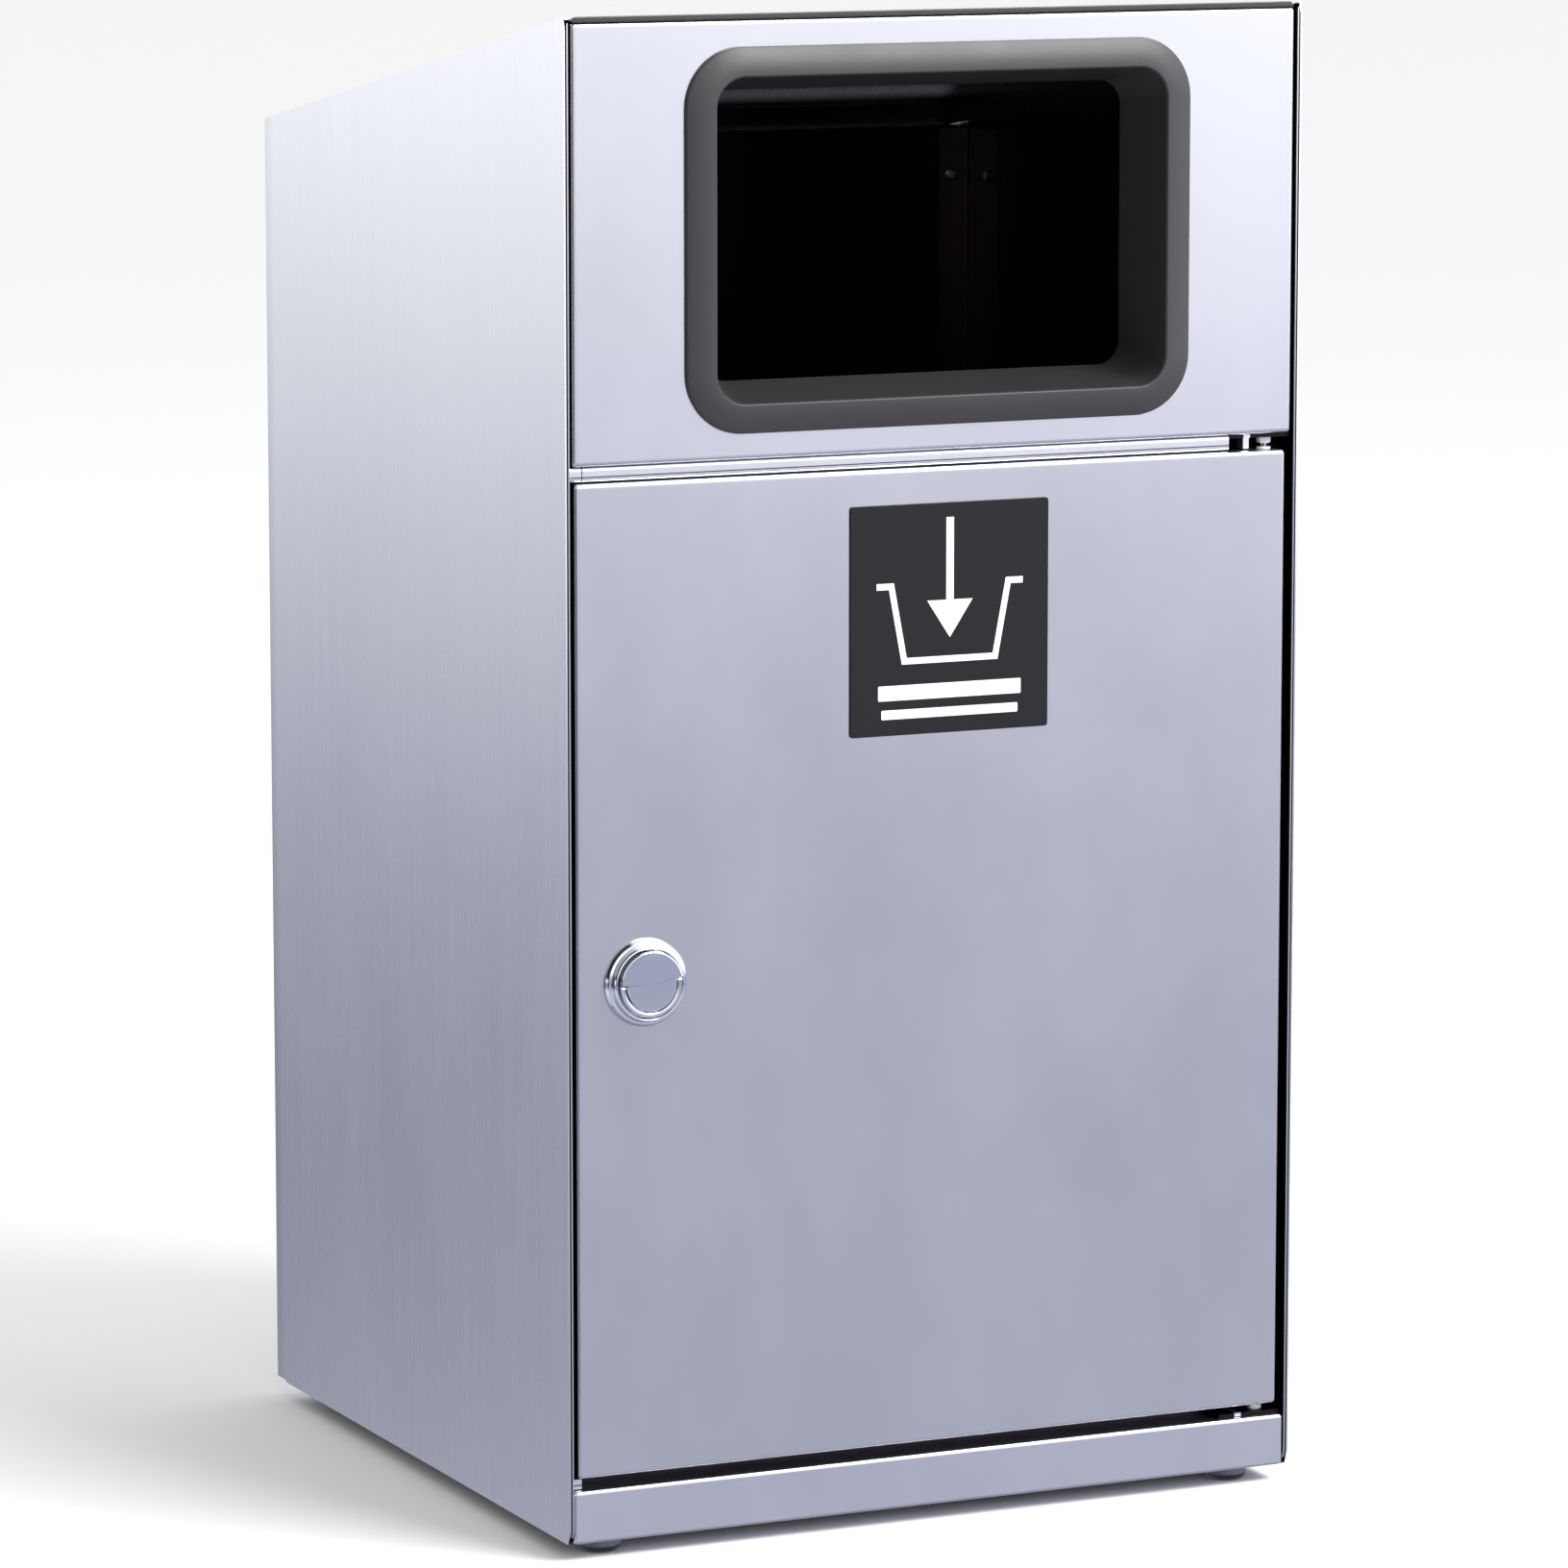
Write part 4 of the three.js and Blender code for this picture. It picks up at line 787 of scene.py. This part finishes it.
class CABINET_OT_label(PieceOperator, bpy.types.Operator):
    """Label film with a plain figure: an arrow into an open bin, over two bars."""

    bl_idname = "cabinet.label"
    bl_label = "Label"

    def ribbon(self, shape, line, width, near, far):
        """An open line of even width: each point is moved to both sides along the mitre, the sum
        of its two normals over one plus their dot product."""
        p = np.asarray(line, float)
        ahead = np.diff(p, axis=0, append=p[-1:])
        ahead[-1] = ahead[-2]
        ahead /= np.linalg.norm(ahead, axis=1, keepdims=True)
        behind = np.concatenate([ahead[:1], ahead[:-1]])
        n1, n2 = (np.stack([-d[:, 1], d[:, 0]], 1) for d in (behind, ahead))
        mitre = (n1 + n2) / (1 + np.sum(n1 * n2, 1, keepdims=True)) * width / 2
        sides = np.stack([p + mitre, p - mitre, p - mitre, p + mitre], 1)
        depth = np.array([near, near, far, far])
        shape.grid(placed(sides[..., 0], sides[..., 1], depth, "xzy"))

    def make(self):
        t, s = tones(), sizes()
        low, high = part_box("label_plate")
        centre, half = middle("label_plate"), half_size("label_plate")
        film = moulded("Label film", t.label, 0.5, 0.0016, 0.000003, 0.95, 0.25)
        edge = 0.0003
        plate = []
        for inset, y in ((0, high.y), (0, low.y + edge), (edge * 0.3, low.y + edge * 0.3),
                         (edge, low.y), (edge * 2, low.y)):
            ring = rounded_ring(centre.x, centre.z, half.x - inset, half.z - inset,
                                0.002 - inset, 6, 1)
            plate.append(placed(ring[:, 0], ring[:, 1], y, "xzy"))
        Shape().grid(np.stack(plate)).build("label_film", film, "door", ["label_plate"],
                                            "label_film")
        ink_proud, ink_sunk = 0.00012, 0.0001
        near, far = low.y - ink_proud, low.y + ink_sunk
        figure = Shape()
        x0, z0 = centre.x, centre.z + 0.013

        def at(*pairs):
            """Points from pairs in millimetres about the figure's origin."""
            return [(x0 + x / 1000, z0 + z / 1000) for x, z in pairs]

        self.ribbon(figure, at((-45, 6), (-36, 6), (-28, -36), (28, -36), (36, 6), (45, 6)),
                    s.stroke, near, far)
        figure.prism(at((-2.3, 43), (-2.3, -3), (-14, -3), (0, -24), (14, -3), (2.3, -3),
                        (2.3, 43)), near, far)
        for z, wide, tall in ((-0.0405, 0.044, 0.0042), (-0.0525, 0.042, 0.0026)):
            ring = rounded_ring(centre.x, centre.z + z, wide, tall, 0.0006, 3, 1)
            figure.prism(ring, near, far)
        ink = moulded("Pictogram ink", t.ink, 0.5, 0.0012, 0.000002, 0.97)
        figure.build("label_figure", ink, "door", (), "label_film")


class CABINET_OT_latch(PieceOperator, bpy.types.Operator):
    """Turn latch: rosette on the door, domed knob, and a half ring that folds out of it."""

    bl_idname = "cabinet.latch"
    bl_label = "Latch"

    core, rim, ring_depth, tilt = 0.0148, 0.0186, 0.0076, radians(5)
    proud, dish, chamfer, fine_chamfer = 0.0103, 0.0002, 0.0006, 0.0004

    def dome(self, radius):
        """Face of the knob: it falls towards the rim by the dish times the radius cubed."""
        share_out = radius / (self.rim - self.chamfer)
        return FRONT - self.proud + self.dish * share_out ** 3

    def knob(self, centre):
        """Upper half of the face reaches the rim and the lower half the core. Chamfer and
        dome follow by drawing the outline towards the middle."""
        steps, chord, skirt = 61, 0.0021, 0.0044
        up, down = np.arcsin(chord / self.rim), np.arcsin(chord / self.core)
        angle = np.concatenate([np.linspace(up, pi - up, steps),
                                np.linspace(pi - down, 2 * pi + down, steps)])
        edge = np.repeat([self.rim, self.core], steps)
        slope = np.repeat([self.chamfer, self.fine_chamfer], steps)

        def row(radius, y):
            return placed(centre.x + radius * np.cos(angle),
                          centre.z + radius * np.sin(angle), y, "xzy")

        rows = [row(edge, FRONT - skirt)]
        for draw, drop in ((0, 1.3), (0, 1.12), (0.06, 0.98), (0.92, 0.06)):
            rows.append(row(edge - slope * draw, self.dome(edge - slope) + slope * drop))
        face = edge - 1.4 * slope
        shares = [1.0, *np.linspace(0.93, 0.0, 14)[:-1]]
        for radius in (edge - 1.12 * slope, *(face * k for k in shares)):
            rows.append(row(radius, self.dome(radius)))
        shape = Shape().grid(np.stack(rows))
        back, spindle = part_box("latch_knob")[1].y, 0.006
        seat, deck = FRONT - 0.0033, FRONT - 0.0048
        base = softened([(0, back), (spindle, back), (spindle, seat), (self.rim, seat),
                         (self.rim, deck), (0, deck)], sizes().fillet)
        return shape.lathe(base, (centre.x, 0, centre.z))

    def ring(self, centre):
        """Half torus: the middle line is an arc of the mean radius, the section an oval of
        superellipse form; round barrels and pins stand at its ends."""
        inner, outer, end = self.core + 0.0008, self.rim - 0.0003, self.rim - 0.0002
        mean, across, deep = (outer + inner) / 2, (outer - inner) / 2, 0.0017
        angle = np.linspace(pi, 2 * pi, 65)[:, None]
        a = np.linspace(0, 2 * pi, 20, endpoint=False)
        c, s = (np.sign(f) * np.sqrt(np.abs(f)) for f in (np.cos(a), np.sin(a)))
        radius = mean + across * c
        shape = Shape().grid(placed(centre.x + radius * np.cos(angle),
                                    centre.z + radius * np.sin(angle),
                                    FRONT - self.ring_depth + deep * s + 0 * angle, "xzy"))
        barrel = softened([(0, inner), (deep, inner), (deep, end), (0, end)], 0.0006, 5)
        pin, pin_start = 0.0008, self.core - 0.0018
        axle = np.array([(0, pin_start), (pin, pin_start), (pin, mean), (0, mean)])
        for side in (-1, 1):
            for profile in (barrel, axle):
                shape.lathe(profile * np.array([1, side]),
                            (centre.x, FRONT - self.ring_depth, centre.z), "x", 32)
        return shape

    def make(self):
        s, plate = sizes(), chrome_plate()
        centre = middle("latch_rosette")
        bore, neck, rim, wall, lip = 0.0063, 0.0105, 0.0245, 0.0212, 0.0193
        profile = [(bore, 0.009), (neck, 0.009), (neck, -0.0003), (rim, -0.0003),
                   (rim, -0.0013), (rim - 0.0014, -0.0033), (wall + 0.0004, -0.0036),
                   (wall, -0.0068), (wall - 0.0006, -0.0077), (lip + 0.0005, -0.0078),
                   (lip, -0.0072), (lip, -0.003), (bore, -0.003)]
        profile = softened([(r, FRONT + y) for r, y in profile], s.fillet, 4, closed=True)
        Shape().lathe(profile, (centre.x, 0, centre.z), closed=True).build(
            "latch_rosette_ring", plate, "door", ["latch_rosette"], "chrome", 60)
        self.knob(centre).tilted(centre, self.tilt).build(
            "latch_knob_face", plate, "latch", ["latch_knob"], "chrome")
        self.ring(centre).tilted(centre, self.tilt).build(
            "latch_ring", plate, "ring_pull", ["ring_pull"], "chrome", 50)


class CABINET_OT_hinges(PieceOperator, bpy.types.Operator):
    """Hinge nuts with chamfered corners, and flanged bushes in the door's edges."""

    bl_idname = "cabinet.hinges"
    bl_label = "Hinges"

    bore = 0.0023

    def nut(self, node, name):
        """Hexagon nut: the radius is the smaller of the hexagon's, flat / cos of the angle
        from its nearest flat, and a cone's that chamfers both faces."""
        low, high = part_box(node)
        centre, flat = middle(node), half_size(node).x
        angle = np.linspace(0, 2 * pi, sizes().round_steps, endpoint=False)
        hexagon = flat / np.cos((angle + pi / 6) % (pi / 3) - pi / 6)
        chamfered, swell = 0.22, 0.16
        rise = np.array([0, 0.06, 0.14, 0.22, 0.78, 0.86, 0.94, 1.0])
        share_in = np.clip(np.minimum(rise, 1 - rise) / chamfered, 0, 1)
        cone = flat * (1 + swell * np.sin(share_in * pi / 2))
        radius = np.minimum(hexagon, cone[:, None])
        z = low.z + (high.z - low.z) * rise
        bore = np.full(len(angle), self.bore)
        radius = np.vstack([bore, radius, bore])
        z = np.concatenate([[low.z], z, [high.z]])[:, None]
        grid = placed(centre.x + radius * np.cos(angle), centre.y + radius * np.sin(angle), z,
                      "xyz")
        zinc = moulded("Zinc plate", tones().zinc, 0.3, 0.0010, 0.000003, 0.9)
        Shape().grid(grid, wrap=True).build(name, zinc, "cabinet", [node], "chrome")

    def make(self):
        self.nut("hinge_nut_upper", "hinge_hex_upper")
        self.nut("hinge_nut_lower", "hinge_hex_lower")
        for name, outward in (("upper", 1), ("lower", -1)):
            low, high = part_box(f"hinge_bush_{name}")
            centre = middle(f"hinge_bush_{name}")
            tip, root = (high.z, low.z) if outward > 0 else (low.z, high.z)
            sleeve, flange, under = 0.0037, 0.0041, tip - outward * 0.0009
            profile = [(self.bore, root), (sleeve, root), (sleeve, under), (flange, under),
                       (flange, tip), (self.bore, tip)]
            profile = softened(profile, 0.0003, 4, closed=True)
            Shape().lathe(profile, (centre.x, centre.y, 0), "z", 48, closed=True).build(
                f"hinge_collar_{name}", hinge_nylon(), "door", [f"hinge_bush_{name}"],
                "nylon")


class CABINET_OT_feet(PieceOperator, bpy.types.Operator):
    """Levelling feet: rubber sole, moulded bowl and threaded stud."""

    bl_idname = "cabinet.feet"
    bl_label = "Levelling feet"

    def make(self):
        s, t = sizes(), tones()
        bowl_finish = moulded("Foot plastic", t.foot, 0.3, 0.0012, 0.000006)
        steel = plain_inner()
        for place in ("front_left", "front_right", "rear_left", "rear_right"):
            node, body = f"levelling_foot_{place}", f"foot_{place}"
            centre, top = (middle(node).x, middle(node).y, 0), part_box(node)[1].z
            r, rise, roll = half_size(node).x, 0.0036, 0.0042
            a = np.linspace(0, pi / 2, 13)
            sole = np.stack([r - roll + roll * np.sin(a), rise - rise * np.cos(a)], 1)
            sole = np.concatenate([[(0, 0)], sole, [(0, rise)]])
            Shape().lathe(sole, centre, "z").build(
                f"foot_sole_{place}", rubber(), body, [node], "rubber")
            side, seat, crest, stud_foot = r - 0.0001, rise - 0.0001, 0.0094, 0.009
            bowl = softened([(0, seat), (side, seat), (side, 0.0088), (r - 0.0006, crest),
                             (0.0035, crest), (0, crest)], 0.0004)
            Shape().lathe(bowl, centre, "z").build(
                f"foot_bowl_{place}", bowl_finish, body, [node], "rubber")
            angle = np.linspace(0, 2 * pi, 32, endpoint=False)
            z = np.arange(stud_foot, top - 0.0008, s.thread_pitch / 8)
            turns = (z[:, None] / s.thread_pitch - angle / (2 * pi)) % 1
            thread_depth, axle = 0.0006, np.zeros(32)
            radius = 0.0039 - thread_depth * np.abs(2 * turns - 1)
            radius = np.vstack([axle, radius, radius[-1] - thread_depth, axle])
            z = np.concatenate([[z[0]], z, [top, top]])[:, None]
            grid = placed(radius * np.cos(angle), radius * np.sin(angle), z, "xyz")
            Shape().grid(grid + np.array(centre), caps=False).build(
                f"foot_stud_{place}", steel, body, [node], "plain_steel")


class CABINET_OT_frame_finish(PieceOperator, bpy.types.Operator):
    """Finishes of the frame's own parts that stay as they are."""

    bl_idname = "cabinet.frame_finish"
    bl_label = "Frame finishes"

    def make(self):
        t, dark = tones(), shaded_inner()
        tray = moulded("Bin plastic", t.bin, 0.45, 0.0009, 0.00002)
        by_slot = {
            "satin_steel": satin_roof(), "bright_steel": bright_front(),
            "plain_steel": plain_inner(), "chrome": chrome_plate(), "rubber": rubber(),
            "dark_plastic": window_plastic(), "black_trim": window_plastic(),
            "label_film": window_plastic(), "grey_plastic": tray, "nylon": hinge_nylon(),
        }
        crease, half_line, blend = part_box("cross_rail")[1].z - 0.0052, 0.0008, 0.0003
        tab_depth, gusset_left, gusset_right, edge = 0.006, 0.1921, 0.1967, 0.0005

        def off_crease(x, y, z):
            """0 in the crease that runs along the rail, which gets painted shade, else 1."""
            return 1 - (z - crease + half_line).between(0, blend) * (
                crease - z).between(0, blend)

        def tab_face(x, y, z):
            """1 on the front of the post's tab, off the crease; the rest of the post gets painted
            shade.
            """
            return (FRONT + tab_depth - y).between(0, edge) * off_crease(x, y, z)

        def gusset_face(x, y, z):
            """1 on the bracket's gusset; the rest of the bracket gets painted shade."""
            return (x - gusset_left).between(0, edge) * (gusset_right - x).between(0, edge)

        # Painted shade: the rail's crease, the posts off the tab, the brackets off the gusset, the
        # corner angles, the base and the window clamp get a dark base colour where shade falls.
        gusset = shade_coated("Bracket painted shade", t.shade_coat, gusset_face, t.chrome)
        angle = shade_coated("Angle painted shade", t.angle)
        by_node = {
            "cross_rail": shade_coated("Rail sheet, painted crease shade", t.shade_coat, off_crease, t.bright),
            "front_post_left": shade_coated("Post painted shade", t.shade_coat, tab_face, t.bright),
            "front_post_right": dark, "base_panel": dark, "window_clamp_frame": dark,
            "rear_panel": satin_side(),
            "hinge_bracket_upper": gusset, "hinge_bracket_lower": gusset,
            "rear_corner_angle_left": angle, "rear_corner_angle_right": angle,
        }
        for part in frame["record"]["subparts"]:
            node = part["node"]
            thing = frame["nodes"][node]
            thing.data.materials.clear()
            thing.data.materials.append(by_node.get(node, by_slot[part["material_slot"]]))


class CABINET_OT_stage(PieceOperator, bpy.types.Operator):
    """Camera, pale floor and soft studio light."""

    bl_idname = "cabinet.stage"
    bl_label = "Stage"

    def camera(self):
        azimuth, elevation, distance = radians(-24.84), radians(8.64), 4.348
        aim = Vector((0.0094, FRONT + 0.225, 0.3893))
        back = Vector((sin(azimuth) * cos(elevation), -cos(azimuth) * cos(elevation),
                       sin(elevation)))
        data = bpy.data.cameras.new("Camera")
        data.sensor_width, data.lens = 36.0, 170.9
        data.clip_start, data.clip_end = 0.1, 500
        camera = shown("Camera", data)
        camera.location = aim + back * distance
        aimed(camera, -back)
        bpy.context.scene.camera = camera

    def floor(self):
        """A flat square; seen from below it lets the view and the light through."""
        mesh, reach = bpy.data.meshes.new("studio_floor"), 60.0
        points = [(-reach, -reach, 0), (reach, -reach, 0), (reach, reach, 0), (-reach, reach, 0)]
        mesh.from_pydata(points, [], [(0, 1, 2, 3)])
        material = bpy.data.materials.new("Floor")
        tree = Tree(material)
        matt = tree.node("ShaderNodeBsdfDiffuse", None, {"Color": rgba(tones().floor)})
        clear = tree.node("ShaderNodeBsdfTransparent")
        below = tree.node("ShaderNodeNewGeometry", output=6)
        both = tree.node("ShaderNodeMixShader", None, {0: below, 1: matt, 2: clear})
        tree.node("ShaderNodeOutputMaterial", None, {"Surface": both})
        mesh.materials.append(material)
        floor = shown("studio_floor", mesh)
        floor.visible_glossy = False

    def light(self):
        """Soft light from all round: white at the horizon, falling off below it as a lit
        floor does, softer overhead, and dark on the left, high beside the case (high) and
        low in front of it (low)."""
        world = bpy.data.worlds.new("Studio")
        bpy.context.scene.world = world
        tree = Tree(world)
        x, y, z = tree.axes(tree.node("ShaderNodeTexCoord", output=0))

        def sky(*stops):
            """Ramp over the height of a direction, from stops of height, light and blue."""
            low, high = stops[0][0], stops[-1][0]
            colours = [((height - low) / (high - low),
                        (light / 2, light / 2 * (1 + 0.15 * blue), light / 2 * (1 + blue), 1))
                       for height, light, blue in stops]
            share_up = ((z - low) * (1 / (high - low))).clamped()
            return tree.node("ShaderNodeValToRGB", {"stops": colours}, {0: share_up})

        ahead = sky((-1.0, 0.36, 0.3), (-0.6, 0.44, 0.3), (-0.36, 0.70, 0.2), (-0.28, 0.57, 0.26),
                    (-0.235, 0.48, 0.30),
                    (-0.205, 0.42, 0.33), (-0.17, 0.41, 0.35), (-0.135, 0.40, 0.36),
                    (-0.105, 0.40, 0.32), (-0.085, 0.64, 0.20), (-0.05, 1.18, 0.03),
                    (0.0, 1.35, 0.0), (0.04, 1.35, 0.0))
        behind = sky((-1.0, 0.40, 0.3), (-0.6, 0.60, 0.2), (-0.36, 0.88, 0.14), (-0.28, 0.64, 0.24),
                     (-0.235, 0.40, 0.34),
                     (-0.205, 0.17, 0.46), (-0.18, 0.19, 0.48), (-0.148, 0.41, 0.38),
                     (-0.10, 0.80, 0.17), (-0.06, 1.38, 0.03), (0.0, 1.9, 0.0),
                     (0.04, 1.9, 0.0))
        front = (0 - y).between(-0.2, 0.2)
        high = ((0.0 - x).between(0, 0.15) * (y + 0.5).between(0, 0.1)
                * (0.32 - y).between(0, 0.12) * z.between(0.0, 0.15))
        low = ((-0.36 - x).between(0, 0.16) * (0 - y).between(-0.05, 0.2)
               * (1 - z.between(0.05, 0.25)) * z.between(-0.35, -0.12))
        dark = (high + low).clamped()
        right = x.between(0.34, 0.52) * z.between(-0.14, -0.05) * front
        overhead = z.between(0.6, 0.85) * 0.25 - z.between(0.1, 0.3) * 0.35
        gain = ((1 + right * 0.75) * (2 - dark * 1.94) * (1 + overhead)
                * (1 + (1 - front) * ((0 - x).between(0.25, 0.5) * 0.5 - 0.25)))
        background = tree.node("ShaderNodeBackground", None,
                               {"Color": tree.mixed(front, behind, ahead), "Strength": gain})
        tree.node("ShaderNodeOutputWorld", None, {"Surface": background})
        lamp = bpy.data.lights.new("Softbox", "AREA")
        lamp.shape, lamp.size, lamp.size_y, lamp.energy = "RECTANGLE", 2.4, 1.6, 190
        box = shown("Softbox", lamp)
        box.location = (1.6, -2.4, 3.0)
        aimed(box, Vector((0, 0, 0.5)) - box.location)

    def make(self):
        self.camera()
        self.floor()
        self.light()
        bpy.context.scene.view_settings.view_transform = "Standard"


PIECES = (
    CABINET_OT_stage, CABINET_OT_frame_finish, CABINET_OT_side_panels,
    CABINET_OT_front_panels, CABINET_OT_window_bezel, CABINET_OT_kick_rail,
    CABINET_OT_roof_trim, CABINET_OT_label, CABINET_OT_latch, CABINET_OT_hinges,
    CABINET_OT_feet,
)


class CABINET_PT_pieces(bpy.types.Panel):
    """Lists the pieces and their settings."""

    bl_idname = "CABINET_PT_pieces"
    bl_label = "Litter cabinet"
    bl_space_type = "VIEW_3D"
    bl_region_type = "UI"
    bl_category = "Cabinet"

    def draw(self, context):
        for group in (context.scene.cabinet_sizes, context.scene.cabinet_finish):
            box = self.layout.box()
            for name in group.__annotations__:
                box.prop(group, name)
        for piece in PIECES:
            self.layout.operator(piece.bl_idname)


CLASSES = (CabinetSizes, CabinetFinish, *PIECES, CABINET_PT_pieces)


def register():
    for made in CLASSES:
        bpy.utils.register_class(made)
    bpy.types.Scene.cabinet_sizes = PointerProperty(type=CabinetSizes)
    bpy.types.Scene.cabinet_finish = PointerProperty(type=CabinetFinish)


def unregister():
    del bpy.types.Scene.cabinet_sizes
    del bpy.types.Scene.cabinet_finish
    for made in reversed(CLASSES):
        bpy.utils.unregister_class(made)


def main():
    """Makes every piece."""
    register()
    for piece in PIECES:
        family, name = piece.bl_idname.split(".")
        getattr(getattr(bpy.ops, family), name)()


if __name__ == "__main__":
    main()
